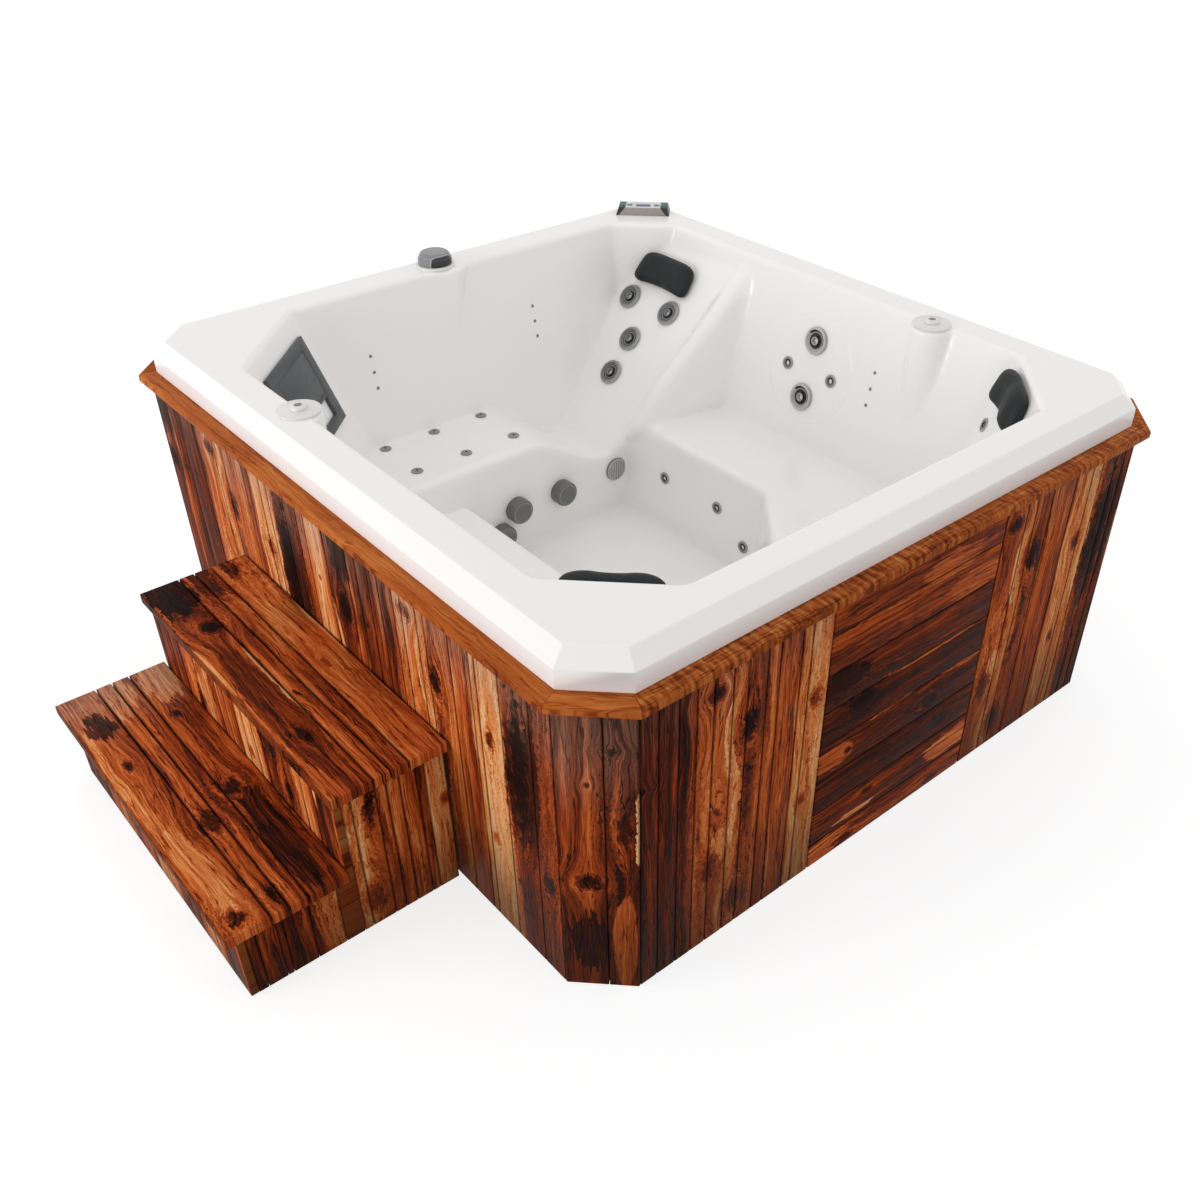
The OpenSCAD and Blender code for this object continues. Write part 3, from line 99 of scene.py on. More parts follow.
def studio():
    """Two lamps and a soft room, which looks plain white directly, in reflections and through glass."""
    lamp("key_lamp", (-1.2, -5.6, 1.5), (0, 0, 0.45), 2.4, 100)
    lamp("top_lamp", (-0.6, 1.2, 5.6), (0, 0, 0.4), 3.6, 16)
    world = bpy.data.worlds.new("studio_world")
    world.use_nodes = True
    world.node_tree.nodes.clear()
    scene.world = world
    g = Graph(world.node_tree)
    soft = g.add("Background", {"Color": (1, 1, 1, 1), "Strength": ROOM_LIGHT})
    white = g.add("Background", {"Color": (1, 1, 1, 1), "Strength": 1})
    mix = g.add("MixShader", {0: g.seen(), 1: soft.outputs[0], 2: white.outputs[0]})
    g.add("OutputWorld", {"Surface": mix.outputs[0]})


# Modelling helpers


def mode(name):
    """Goes into object mode or edit mode."""
    bpy.ops.object.mode_set(mode=name)


def clear_selection():
    if bpy.context.object and bpy.context.object.mode != "OBJECT":
        mode("OBJECT")
    bpy.ops.object.select_all(action="DESELECT")


def pick(*objects):
    clear_selection()
    for ob in objects:
        ob.select_set(True)
    bpy.context.view_layer.objects.active = objects[0]


@contextmanager
def editing(ob, elements=None):
    """Edit mode on one object, with its whole mesh selected."""
    pick(ob)
    mode("EDIT")
    if elements:
        bpy.ops.mesh.select_mode(type=elements)
    bpy.ops.mesh.select_all(action="SELECT")
    yield
    mode("OBJECT")


@contextmanager
def chosen(ob, points=(), edges=None):
    """Edit mode with only some points selected, or the edges whose two ends pass a test."""
    pick(ob)
    mode("EDIT")
    bpy.ops.mesh.select_mode(type="EDGE" if edges else "VERT")
    bpy.ops.mesh.select_all(action="DESELECT")
    mode("OBJECT")
    if edges:
        for edge in ob.data.edges:
            if edges(*(ob.data.vertices[i].co for i in edge.vertices)):
                edge.select = True
    else:
        flags = np.zeros(len(ob.data.vertices), bool)
        flags[list(points)] = True
        ob.data.vertices.foreach_set("select", flags)
    mode("EDIT")
    yield
    mode("OBJECT")


def settle(ob):
    """Puts the object's place, turn and size into its mesh."""
    pick(ob)
    bpy.ops.object.transform_apply(location=True, rotation=True, scale=True)
    return ob


def form(name, add, **values):
    """A new basic form, by the operator that adds it."""
    clear_selection()
    add(**values)
    ob = bpy.context.object
    ob.name = name
    return ob


def block(name, low, high):
    """A box between two corners."""
    low, high = Vector(low), Vector(high)
    ob = form(name, bpy.ops.mesh.primitive_cube_add, size=1, location=(low + high) / 2)
    ob.scale = high - low
    return settle(ob)


def cut(ob, planes, fill=True):
    """Cuts the object off outside each plane, given as a point and an outward normal."""
    with editing(ob):
        for point, normal in planes:
            bpy.ops.mesh.select_all(action="SELECT")
            bpy.ops.mesh.bisect(plane_co=point, plane_no=normal, use_fill=fill, clear_outer=True)
        bpy.ops.mesh.select_all(action="SELECT")
        if fill:
            bpy.ops.mesh.normals_make_consistent(inside=False)
    return ob


def flip(ob):
    """Turns all faces to look the other way."""
    with editing(ob):
        bpy.ops.mesh.flip_normals()


def drum(name, foot, radius, height):
    """An upright round bar that stands on a point."""
    return settle(form(name, bpy.ops.mesh.primitive_cylinder_add, vertices=64, radius=radius, depth=height,
                       location=Vector(foot) + Vector((0, 0, height / 2))))


def modify(ob, kind, **values):
    """Adds a modifier and applies it."""
    pick(ob)
    mod = ob.modifiers.new(kind.lower(), kind)
    for key, value in values.items():
        setattr(mod, key, value)
    bpy.ops.object.modifier_apply(modifier=mod.name)
    return ob


def carve(ob, tool):
    """Takes the tool's solid away from the object."""
    modify(ob, "BOOLEAN", object=tool, operation="DIFFERENCE", solver="EXACT")
    bpy.data.objects.remove(tool)


def join(*objects):
    pick(*objects)
    bpy.ops.object.join()
    return bpy.context.object


def read(items, name, width=1, kind=float):
    """One property of a mesh's points, edges or corners, as the rows of an array."""
    out = np.empty(len(items) * width, kind)
    items.foreach_get(name, out)
    return out.reshape(-1, width)


def vertex_array(ob):
    return read(ob.data.vertices, "co", 3)


def move_points(ob, place):
    ob.data.vertices.foreach_set("co", place.ravel())
    ob.data.update()


def store(ob, name, values):
    """Keeps three values for each point under a name that the finishes read."""
    ob.data.attributes.new(name, "FLOAT_VECTOR", "POINT").data.foreach_set("vector", values.ravel())


# The acrylic shell

RIM = 0.911
BENCH = 0.43
FRONT_SEAT = 0.35
FOOTWELL = 0.11
LOUNGER_EDGE = 0.478
HIP_Y, HIP_Z = 0.3, 0.322
LEG_REST = 0.455
BACK_FOOT_Y = HIP_Y + 0.018
BACK_LEAN = 41.5
BACK_SLOPE = tan(radians(BACK_LEAN))
ROLL_WIDTH = 0.062
SEAT_EDGE_Y = -0.253
WELL_FAR = 0.391
BOSS_RADIUS = 0.058
# two faces of the wedge under the diverter: a point and which way it looks
WEDGE_FACES = [
    ((-0.868, -0.105, 0.92), (0.973, -0.201, 0.114)), ((-0.837, 0.04, 0.911), (0.77, 0.638, -0.083)),
]
# thickness, rounding of the basin's edge, easing of the rim's folds
SHEET, RIM_ROUND, FOLD = 0.006, 0.013, 0.0022
# size of the first net, points this close become one, share of triangles that the back face keeps
VOXEL, MERGE, BACK_SHARE = 0.0088, 0.0022, 0.035
# rows of the rounding, and the most that they start upwards
RIM_ROWS, STEEPEST = 5, 0.8
# rounds of softening all over and along the backrest's roll
ROUNDS, ROLL_ROUNDS = 10, 40
# beyond the shell on every side
FAR = 1.2
VALVES_AT = [(-0.276, -0.808), (0.379, 0.786)]
# from the middle to the rim's inner edge
TO_LOUNGER, TO_PANEL, TO_SIDES = 0.866, 0.886, 0.8


def across_corner(one, other, cut_off):
    """Reach of the slanted wall between two others, from how much it cuts off their meeting point."""
    return (one + other - cut_off) / sqrt(2)


# facing angle, reach at the top, slope inwards on the way down
BASIN_WALLS = [
    (0, TO_SIDES, 0.25), (45, across_corner(TO_LOUNGER, TO_SIDES, 0.156), 0.135),
    (90, TO_LOUNGER, 0.204), (135, across_corner(TO_LOUNGER, TO_SIDES, 0.271), 0.38),
    (180, TO_SIDES, 0.25), (225, across_corner(TO_PANEL, TO_SIDES, 0.212), 0.36),
    (270, TO_PANEL, 0.25), (315, across_corner(TO_PANEL, TO_SIDES, 0.22), 0.36),
]
WELL_WALLS = [
    (0, WELL_FAR, 0.06), (90, 0.508, 0), (180, 0.258, 0.06), (225, across_corner(0.4, 0.258, 0.12), 0.06),
    (270, 0.4, 0.06), (319.4, 0.398, 0.06),
]
# half width, half depth, corner and height of the rim's folds, from the flat rim to the lip's foot
RIM_OUTLINES = [(0.97, 0.889, 0.0855, RIM), (1.005, 0.924, 0.106, 0.879), (1.005, 0.924, 0.106, 0.831)]


def wall_planes(walls, top):
    """The planes of leaning walls, whose reach is measured at a height."""
    planes = []
    for facing, reach, slope in walls:
        a = radians(facing)
        out = Vector((-sin(a), cos(a), 0))
        planes.append((out * reach + Vector((0, 0, top)), (out - Vector((0, 0, slope))).normalized()))
    return planes


def ridge():
    """The side of the backrest, between the lounger and the far bench, with its raised roll."""
    foot = Vector((-LOUNGER_EDGE, WELL_FAR - 0.06 * 0.13, 0.3))
    seat = Vector((-0.379, WELL_FAR, BENCH))
    lip = Vector((-LOUNGER_EDGE, HIP_Y, HIP_Z - 0.008))
    top = Vector((-0.29, 0.8, BENCH))
    face = (seat - foot).cross(lip - foot).normalized()
    bench_face = (top - seat).cross(Vector((-0.09, 0, 1))).normalized()
    back = (Vector((0, BACK_FOOT_Y, HIP_Z)), Vector((0, -1, BACK_SLOPE)).normalized())
    low = block("ridge_low", (-0.54, HIP_Y, 0.2), (0.1, 1.1, 1.3))
    cut(low, [back, (foot, face), (seat, bench_face)])
    roll = block("ridge_roll", (-0.6, HIP_Y, 0.2), (0.1, 1.1, 1.3))
    crest = [(HIP_Y, HIP_Z), (0.36, 0.431), (0.457, 0.549), (0.806, 0.886)]
    planes = [(foot, face), (seat, bench_face), (seat - bench_face * ROLL_WIDTH, -bench_face)]
    for (y0, z0), (y1, z1) in zip(crest, crest[1:]):
        planes.append((Vector((0, y0, z0)), Vector((0, z0 - z1, y1 - y0)).normalized()))
    cut(roll, planes)
    return [low, roll]


def lounger_block():
    """Solid under the lounger: leg rest, dip for the hips and backrest, as a side view pushed along X."""
    side = [(-1.1, 0.1), (-1.1, LEG_REST)]
    for step in range(13):
        share = step / 12
        side.append((HIP_Y * share, HIP_Z + (LEG_REST - HIP_Z) * (1 + cos(pi * share)) / 2))
    side += [(BACK_FOOT_Y, HIP_Z), (BACK_FOOT_Y + BACK_SLOPE * 0.75, HIP_Z + 0.75), (1.3, 1.1), (1.3, 0.1)]
    ob = form("lounger_block", bpy.ops.mesh.primitive_circle_add, vertices=len(side), fill_type="NGON")
    for vertex, (y, z) in zip(ob.data.vertices, side):
        vertex.co = (-1.1, y, z)
    with editing(ob):
        bpy.ops.mesh.extrude_region_move(TRANSFORM_OT_translate={"value": (1.1 - LOUNGER_EDGE, 0, 0)})
        bpy.ops.mesh.select_all(action="SELECT")
        bpy.ops.mesh.normals_make_consistent(inside=False)
    return ob


def basin_space():
    """The room inside the shell, as overlapping solids joined in one mesh."""
    walls = wall_planes(BASIN_WALLS, RIM)
    upper = cut(block("upper_room", (-FAR, -FAR, BENCH), (FAR, FAR, 0.99)), walls)
    seat = cut(block("front_seat_room", (-LOUNGER_EDGE, -FAR, FRONT_SEAT), (FAR, SEAT_EDGE_Y, 0.6)), walls)
    hips = cut(block("lounger_room", (-FAR, -FAR, 0.3), (-LOUNGER_EDGE + 0.001, FAR, 0.6)), walls)
    well = cut(block("footwell_room", (-FAR, -FAR, FOOTWELL), (FAR, FAR, BENCH + 0.01)),
               wall_planes(WELL_WALLS, BENCH))
    well = cut(well, [(Vector((-LOUNGER_EDGE, 0, 0)), Vector((-1, 0, 0)))])
    for room in (upper, hips):
        carve(room, lounger_block())
    for room in (upper, hips, well):
        for part in ridge():
            carve(room, part)
    for x, y in VALVES_AT:
        carve(upper, drum("boss", (x, y, BENCH - 0.05), BOSS_RADIUS, 0.7))
    wedge = block("diverter_wedge", (-1.1, -0.2, 0.5), (-0.8, 0.12, 1.1))
    carve(upper, cut(wedge, [(Vector(at), Vector(way).normalized()) for at, way in WEDGE_FACES]))
    return join(upper, seat, hips, well)


def soften(ob, rounds, weights=None):
    """Relaxes a mesh so that its edges turn into fillets, all over or by a weight for each point."""
    if weights is None:
        return modify(ob, "SMOOTH", factor=0.5, iterations=rounds)
    group = ob.vertex_groups.new(name="soften")
    for step in range(11):
        members = np.nonzero(np.round(weights * 10) == step)[0].tolist()
        if members:
            group.add(members, step / 10, "REPLACE")
    modify(ob, "SMOOTH", factor=0.5, iterations=rounds, vertex_group="soften")
    ob.vertex_groups.clear()
    return ob


def grid_loop(ob, z, tolerance=0.0004):
    """Indices of the open boundary's points at a height."""
    mesh = ob.data
    uses = np.zeros(len(mesh.edges), int)
    np.add.at(uses, read(mesh.loops, "edge_index", 1, int)[:, 0], 1)
    rim = np.unique(read(mesh.edges, "vertices", 2, int)[uses == 1])
    return rim[np.abs(vertex_array(ob)[rim, 2] - z) < tolerance]


def neighbours(ob, loop):
    """For each point of the boundary, the boundary's points next to it."""
    near = {int(i): [] for i in loop}
    for edge in ob.data.edges:
        a, b = edge.vertices
        if a in near and b in near:
            near[a].append(b)
            near[b].append(a)
    return near


def octagon(x, y, corner):
    """The eight corners of a rectangle with its corners cut."""
    return [(x, -y + corner), (x, y - corner), (x - corner, y), (-x + corner, y),
            (-x, y - corner), (-x, -y + corner), (-x + corner, -y), (x - corner, -y)]


def at_corner(point, x, y, corner, _):
    """Whether a point is at a corner of one of the rim's outlines, seen from above."""
    return min((point.x - a) ** 2 + (point.y - b) ** 2 for a, b in octagon(x, y, corner)) < 1e-6


def spot(co):
    """A point's place as a key."""
    return tuple(np.round(np.array(co), 6))


def round_rim(ob):
    """Rolls the basin's edge over onto the flat rim, in rows that start out along the wall."""
    loop = grid_loop(ob, RIM - RIM_ROUND)
    near = neighbours(ob, loop)
    place = vertex_array(ob)
    normals = read(ob.data.vertices, "normal", 3)
    facing = {i: normals[i].copy() for i in near}
    for _ in range(6):
        facing = {i: facing[i] + sum((facing[j] for j in near[i]), np.zeros(3)) for i in near}
        facing = {i: v / np.linalg.norm(v) for i, v in facing.items()}
    start = {}
    for i in near:
        climb = min(STEEPEST, max(0.0, facing[i][2]))
        flat = facing[i][:2] / np.linalg.norm(facing[i][:2])
        radius = RIM_ROUND / (1 - climb)
        middle = place[i] - radius * np.array([*(flat * sqrt(1 - climb * climb)), climb])
        start[i] = (middle, flat, radius, asin(climb))
    first_of = {spot(place[i]): i for i in near}
    with chosen(ob, loop):
        for row in range(1, RIM_ROWS + 1):
            bpy.ops.mesh.extrude_region_move(TRANSFORM_OT_translate={"value": (0, 0, 0.0)})
            mode("OBJECT")
            fresh = {}
            for vertex in [v for v in ob.data.vertices if v.select]:
                first = first_of[spot(vertex.co)]
                middle, flat, radius, lean = start[first]
                angle = lean + (pi / 2 - lean) * row / RIM_ROWS
                vertex.co = middle + radius * np.array([*(flat * cos(angle)), sin(angle)])
                fresh[spot(vertex.co)] = first
            first_of = fresh
            mode("EDIT")


def flat_rim(ob):
    """Fills the flat rim out to its octagon and folds it down over the lip."""
    inner = grid_loop(ob, RIM, 0.0008)
    outline = form("rim_outline", bpy.ops.mesh.primitive_circle_add, vertices=8, fill_type="NOTHING")
    for vertex, (x, y) in zip(outline.data.vertices, octagon(*RIM_OUTLINES[0][:3])):
        vertex.co = (x, y, RIM)
    count = len(ob.data.vertices)
    join(ob, outline)
    ring = list(range(count, count + 8))
    with chosen(ob, [int(i) for i in inner] + ring):
        bpy.ops.mesh.select_mode(type="EDGE")
        bpy.ops.mesh.fill(use_beauty=True)
    for x, y, corner, z in RIM_OUTLINES[1:]:
        drop = z - ob.data.vertices[ring[0]].co.z
        with chosen(ob, ring):
            bpy.ops.mesh.extrude_region_move(TRANSFORM_OT_translate={"value": (0, 0, drop)})
        ring = [v.index for v in ob.data.vertices if v.select]
        for index in ring:
            here = ob.data.vertices[index].co
            target = min(octagon(x, y, corner), key=lambda q: (q[0] - here.x) ** 2 + (q[1] - here.y) ** 2)
            ob.data.vertices[index].co = (*target, z)


def is_rim_fold(a, b):
    """True on the folds of the rim's outside, which are the only long straight edges up there."""
    if min(a.z, b.z) < 0.84 or (a - b).length < 0.02:
        return False
    return all(any(abs(end.z - fold[3]) < 0.001 and at_corner(end, *fold) for fold in RIM_OUTLINES[:2])
               for end in (a, b))


def close_sheet(ob):
    """Gives the shell a plain back face, joined along the foot of the lip."""
    back = linked("back_face", ob.data.copy())
    modify(back, "DECIMATE", ratio=BACK_SHARE)
    modify(back, "DISPLACE", strength=-SHEET, mid_level=0.0)
    flip(back)
    join(ob, back)
    with chosen(ob):
        bpy.ops.mesh.select_mode(type="EDGE")
        bpy.ops.mesh.select_non_manifold()
        bpy.ops.mesh.bridge_edge_loops()


def near_roll(place):
    """How much each point belongs to the backrest's rounded roll, which is softer than the rest."""
    x, y, z = place.T
    middle = -0.41 + 0.2176 * (y - WELL_FAR) - 0.09 * (z - BENCH)
    across = np.clip((0.105 - np.abs(x - middle)) / 0.045, 0, 1)
    return across * np.clip((y - 0.29) / 0.03, 0, 1) * np.clip((0.86 - z) / 0.04, 0, 1)


def is_lip_edge(a, b):
    """True on the upright corners of the lip and along its foot."""
    return 0.828 < min(a.z, b.z) < 0.84 and all(at_corner(end, *RIM_OUTLINES[2]) for end in (a, b))


def shell():
    """The acrylic shell: the basin's room turned inside out, with its rim, lip and back face."""
    ob = basin_space()
    ob.name = "shell_of_acrylic"
    modify(ob, "REMESH", mode="VOXEL", voxel_size=VOXEL, adaptivity=0)
    soften(ob, ROUNDS)
    soften(ob, ROLL_ROUNDS, near_roll(vertex_array(ob)))
    cut(ob, [(Vector((0, 0, RIM - RIM_ROUND)), Vector((0, 0, 1)))], fill=False)
    flip(ob)
    with chosen(ob, grid_loop(ob, RIM - RIM_ROUND)):
        bpy.ops.mesh.remove_doubles(threshold=MERGE)
    round_rim(ob)
    flat_rim(ob)
    with chosen(ob, edges=is_rim_fold):
        bpy.ops.mesh.bevel(offset=FOLD, segments=2, profile=0.5, affect="EDGES")
    close_sheet(ob)
    with chosen(ob, edges=is_lip_edge):
        bpy.ops.mesh.mark_sharp()
    pick(ob)
    bpy.ops.object.shade_smooth(keep_sharp_edges=True)
    return modify(ob, "WEIGHTED_NORMAL", keep_sharp=True, weight=60)


# Pieces made from CAD solids

# points this close are one, faces this even are one, corners this sharp are eased, below this all is round
SAME_POINT = 0.00001
EVEN, SHARP, ROUND = radians(0.5), radians(30), radians(35)


def fair_copy(source, name, soft):
    """A copy of a CAD solid with its triangles merged, its edges eased and its round faces smooth."""
    ob = linked(name, NODES[source].data.copy())
    ob.data.materials.clear()
    with editing(ob, "EDGE"):
        bpy.ops.mesh.remove_doubles(threshold=SAME_POINT)
        bpy.ops.mesh.dissolve_limited(angle_limit=EVEN)
        if soft:
            bpy.ops.mesh.select_all(action="DESELECT")
            bpy.ops.mesh.edges_select_sharp(sharpness=SHARP)
            bpy.ops.mesh.bevel(offset=soft, segments=2, profile=0.5, affect="EDGES", clamp_overlap=True)
    bpy.ops.object.shade_smooth_by_angle(angle=ROUND)
    return ob


def take_place(ob, source, look):
    """Lets a finished piece stand for its CAD solids."""
    ob.data.materials.clear()
    ob.data.materials.append(look)
    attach(ob, BODY_OF[source])
    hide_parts(source)


def islands(ob):
    """Number of the separate board that each point belongs to."""
    ends = read(ob.data.edges, "vertices", 2, int)
    label = np.arange(len(ob.data.vertices))
    while True:
        low = np.minimum(label[ends[:, 0]], label[ends[:, 1]])
        fresh = label.copy()
        np.minimum.at(fresh, ends[:, 0], low)
        np.minimum.at(fresh, ends[:, 1], low)
        if (fresh == label).all():
            return np.unique(label, return_inverse=True)[1]
        label = fresh


def lay_grain(ob, layout, seed):
    """Stores for each point its place across and along the grain with its board's number, and how far it is
    from its board's two edges."""
    place = vertex_array(ob)
    board = islands(ob)
    count = board.max() + 1
    draw = random.Random(seed)
    number = np.array([draw.random() for _ in range(count)])
    boards = [place[board == i] for i in range(count)]
    middles = np.array([(one.min(axis=0) + one.max(axis=0)) / 2 for one in boards])
    across, along = layout(place, middles[board])
    store(ob, "grain", np.stack([across, along, number[board]], axis=1))
    low, high = np.full(count, 9.0), np.full(count, -9.0)
    np.minimum.at(low, board, across)
    np.maximum.at(high, board, across)
    store(ob, "edge", np.stack([across - low[board], high[board] - across, np.zeros(len(across))], axis=1))


# Writing shader nodes


class Graph:
    """Writes a node tree as plain expressions."""

    def __init__(self, tree):
        self.tree = tree

    def add(self, kind, inputs=None, **settings):
        made = self.tree.nodes.new("ShaderNode" + kind)
        for key, value in settings.items():
            setattr(made, key, value)
        for key, value in (inputs or {}).items():
            self.feed(made.inputs[key], value)
        return made

    def feed(self, socket, value):
        """Links a node's output to a socket, or sets a plain value on it."""
        if isinstance(value, bpy.types.NodeSocket):
            self.tree.links.new(value, socket)
        elif value is not None:
            socket.default_value = value

    def math(self, operation, *values):
        return self.add("Math", dict(enumerate(values)), operation=operation).outputs[0]

    def plus(self, a, b):
        return self.math("ADD", a, b)

    def minus(self, a, b):
        return self.math("SUBTRACT", a, b)

    def mul(self, a, b):
        return self.math("MULTIPLY", a, b)

    def swing(self, noise, by):
        """A noise made to swing round nothing, times a strength."""
        return self.mul(self.minus(noise, 0.5), by)

    def vec(self, operation, *values):
        made = self.add("VectorMath", dict(enumerate(values)), operation=operation)
        return made.outputs["Value" if operation in ("LENGTH", "DOT_PRODUCT") else 0]

    def scaled(self, vector, by):
        return self.vec("MULTIPLY", vector, by)

    def join(self, x=0.0, y=0.0, z=0.0):
        return self.add("CombineXYZ", {"X": x, "Y": y, "Z": z}).outputs[0]

    def split(self, vector):
        return self.add("SeparateXYZ", {"Vector": vector}).outputs

    def stored(self, name):
        """Three values that each point carries."""
        return self.add("Attribute", attribute_name=name, attribute_type="GEOMETRY").outputs["Vector"]

    def seen(self):
        """1 for what is seen directly, in a reflection or through glass, and 0 for all other light."""
        path = self.add("LightPath").outputs
        seen = self.math("MAXIMUM", path["Is Camera Ray"], path["Is Glossy Ray"])
        return self.math("MAXIMUM", seen, path["Is Transmission Ray"])

    def blend(self, share, a, b, mode="MIX"):
        made = self.add("Mix", data_type="RGBA", blend_type=mode, clamp_factor=True)
        for place, value in ((0, share), (6, a), (7, b)):
            self.feed(made.inputs[place], value)
        return made.outputs[2]

    def dim(self, colour, share):
        """A colour times a single value."""
        return self.blend(1.0, colour, self.join(share, share, share), "MULTIPLY")

    def between(self, value, low, high, a=0.0, b=1.0, smooth=True):
        """Maps low and high to a and b, and stops at both."""
        limits = {"Value": value, "From Min": low, "From Max": high, "To Min": a, "To Max": b}
        way = "SMOOTHSTEP" if smooth else "LINEAR"
        return self.add("MapRange", limits, interpolation_type=way).outputs["Result"]

    def noise(self, vector, scale=1.0, detail=2.0, roughness=0.5, distortion=0.0):
        return self.add("TexNoise", {"Vector": vector, "Scale": scale, "Detail": detail,
                                     "Roughness": roughness, "Distortion": distortion}).outputs[0]

    def ramp(self, value, stops, mode="LINEAR"):
        made = self.add("ValToRGB", {"Fac": value})
        band = made.color_ramp
        band.interpolation = mode
        while len(band.elements) < len(stops):
            band.elements.new(0.5)
        for element, (at, colour) in zip(band.elements, stops):
            element.position = at
            element.color = (*(colour if isinstance(colour, tuple) else (colour,) * 3), 1)
        return made.outputs["Color"]

    def bump(self, body, height, strength, distance):
        made = self.add("Bump", {"Strength": strength, "Distance": distance, "Height": height})
        self.feed(body.inputs["Normal"], made.outputs[0])

    def place(self, group, inputs):
        made = self.tree.nodes.new("ShaderNodeGroup")
        made.node_tree = group
        for key, value in inputs.items():
            self.feed(made.inputs[key], value)
        return made.outputs


def effect(name, vectors, values, vectors_out, values_out):
    """A shader node group that several finishes share, from the names of its inputs and outputs."""
    tree = bpy.data.node_groups.new(name, "ShaderNodeTree")
    for way, kind, labels in (("INPUT", "Vector", vectors), ("INPUT", "Float", values),
                              ("OUTPUT", "Vector", vectors_out), ("OUTPUT", "Float", values_out)):
        for label in labels.split():
            tree.interface.new_socket(label, in_out=way, socket_type="NodeSocket" + kind)
    return Graph(tree), tree.nodes.new("NodeGroupInput").outputs, tree.nodes.new("NodeGroupOutput").inputs


def finish(name, **shader):
    """An empty material: itself, its graph and its Principled shader."""
    made = bpy.data.materials.new(name)
    made.use_nodes = True
    body = made.node_tree.nodes["Principled BSDF"]
    for key, value in shader.items():
        body.inputs[key.replace("_", " ")].default_value = value
    return made, Graph(made.node_tree), body


# Shared effects


def from_centre(g, i):
    """The way from the centre of a knot or patch, as it is and in its half sizes."""
    flat = g.vec("MULTIPLY", g.vec("SUBTRACT", i["Grain"], i["Centre"]), (1, 1, 0))
    return flat, g.vec("DIVIDE", flat, i["Size"])


def make_knot():
    """One knot: bends the grain round it and darkens its heart."""
    g, i, o = effect("knot", "Grain Centre Size", "Dark Ring Ragged Depth", "Grain", "Dark Ring")
    flat, unit = from_centre(g, i)
    edge = g.noise(g.scaled(i["Grain"], (85, 48, 0)), 1.0, 5.0, 0.65)
    far = g.plus(g.vec("LENGTH", unit), g.swing(edge, g.mul(i["Ragged"], 3.4)))
    squared = g.mul(far, far)
    pull = g.mul(g.math("EXPONENT", g.mul(squared, -0.22)), 0.82)
    parts = g.split(flat)
    shift = g.join(g.mul(g.mul(parts["X"], pull), -1.0), 0.0, 0.0)
    g.feed(o["Grain"], g.vec("ADD", i["Grain"], shift))
    heart = g.mul(g.between(far, 1.25, 0.35), i["Depth"])
    g.feed(o["Dark"], g.math("MAXIMUM", i["Dark"], heart))
    rings = g.mul(g.math("SINE", g.mul(far, 17.0)), g.between(far, 2.3, 0.7))
    g.feed(o["Ring"], g.plus(i["Ring"], g.mul(rings, i["Depth"])))
    return g.tree


def make_patch():
    """A sharp-edged patch of sapwood or dark heartwood that follows the grain."""
    g, i, o = effect("patch", "Grain Centre Size", "Tone Ragged Target", "", "Tone")
    _, unit = from_centre(g, i)
    edge = g.noise(g.scaled(i["Grain"], (110, 14, 0)), 1.0, 4.0, 0.6)
    far = g.plus(g.vec("LENGTH", unit), g.swing(edge, g.mul(i["Ragged"], 3.0)))
    inside = g.between(far, 1.06, 0.94)
    g.feed(o["Tone"], g.plus(i["Tone"], g.mul(g.minus(i["Target"], i["Tone"]), inside)))
    return g.tree


def make_fibres():
    """Long wood fibres: broad bands, medium streaks, fine pores and thin dark lines."""
    g, i, o = effect("fibres", "Grain", "Number Wander", "", "Broad Medium Fine Line")
    parts = g.split(i["Grain"])
    shift = g.mul(i["Number"], 17.0)

    def layer(across, fine, slow_step, offset, detail, roughness=0.6):
        place = g.join(g.mul(across, fine), g.mul(parts["Y"], slow_step), g.plus(shift, offset))
        return g.noise(place, 1.0, detail, roughness)

    slow = layer(parts["X"], 11.0, 3.4, 0.0, 2.0, 0.5)
    quick = layer(parts["X"], 40.0, 14.0, 0.0, 2.0, 0.5)
    across = g.plus(parts["X"], g.swing(slow, g.mul(i["Wander"], 3.0)))
    across = g.plus(across, g.swing(quick, g.mul(i["Wander"], 0.45)))
    g.feed(o["Broad"], layer(across, 34.0, 1.8, 0.0, 2.0))
    g.feed(o["Medium"], layer(across, 125.0, 4.2, 5.0, 5.0))
    g.feed(o["Fine"], layer(across, 560.0, 20.0, 9.0, 3.0))
    thin = g.math("ABSOLUTE", g.minus(layer(across, 62.0, 2.6, 13.0, 3.0), 0.5))
    hair = g.math("ABSOLUTE", g.minus(layer(across, 175.0, 5.5, 21.0, 4.0), 0.5))
    g.feed(o["Line"], g.math("MAXIMUM", g.between(thin, 0.022, 0.0), g.between(hair, 0.02, 0.0, 0.0, 0.55)))
    return g.tree


def make_mould():
    """Moulded plastic and acrylic: slow unevenness, fine skin and a faint dust."""
    g, i, o = effect("moulded_skin", "Place", "Size Skin", "", "Slow Skin Dust")
    slow = g.noise(i["Place"], i["Size"], 3.0)
    g.feed(o["Slow"], slow)
    g.feed(o["Skin"], g.noise(i["Place"], i["Skin"], 2.0))
    speck = g.noise(i["Place"], g.mul(i["Size"], 3.0), 5.0, 0.7)
    g.feed(o["Dust"], g.between(speck, 0.52, 0.75))
    return g.tree


KNOT, PATCH, FIBRES, MOULD = make_knot(), make_patch(), make_fibres(), make_mould()

# Timber and plastics

FINE_SKIN = 1100.0
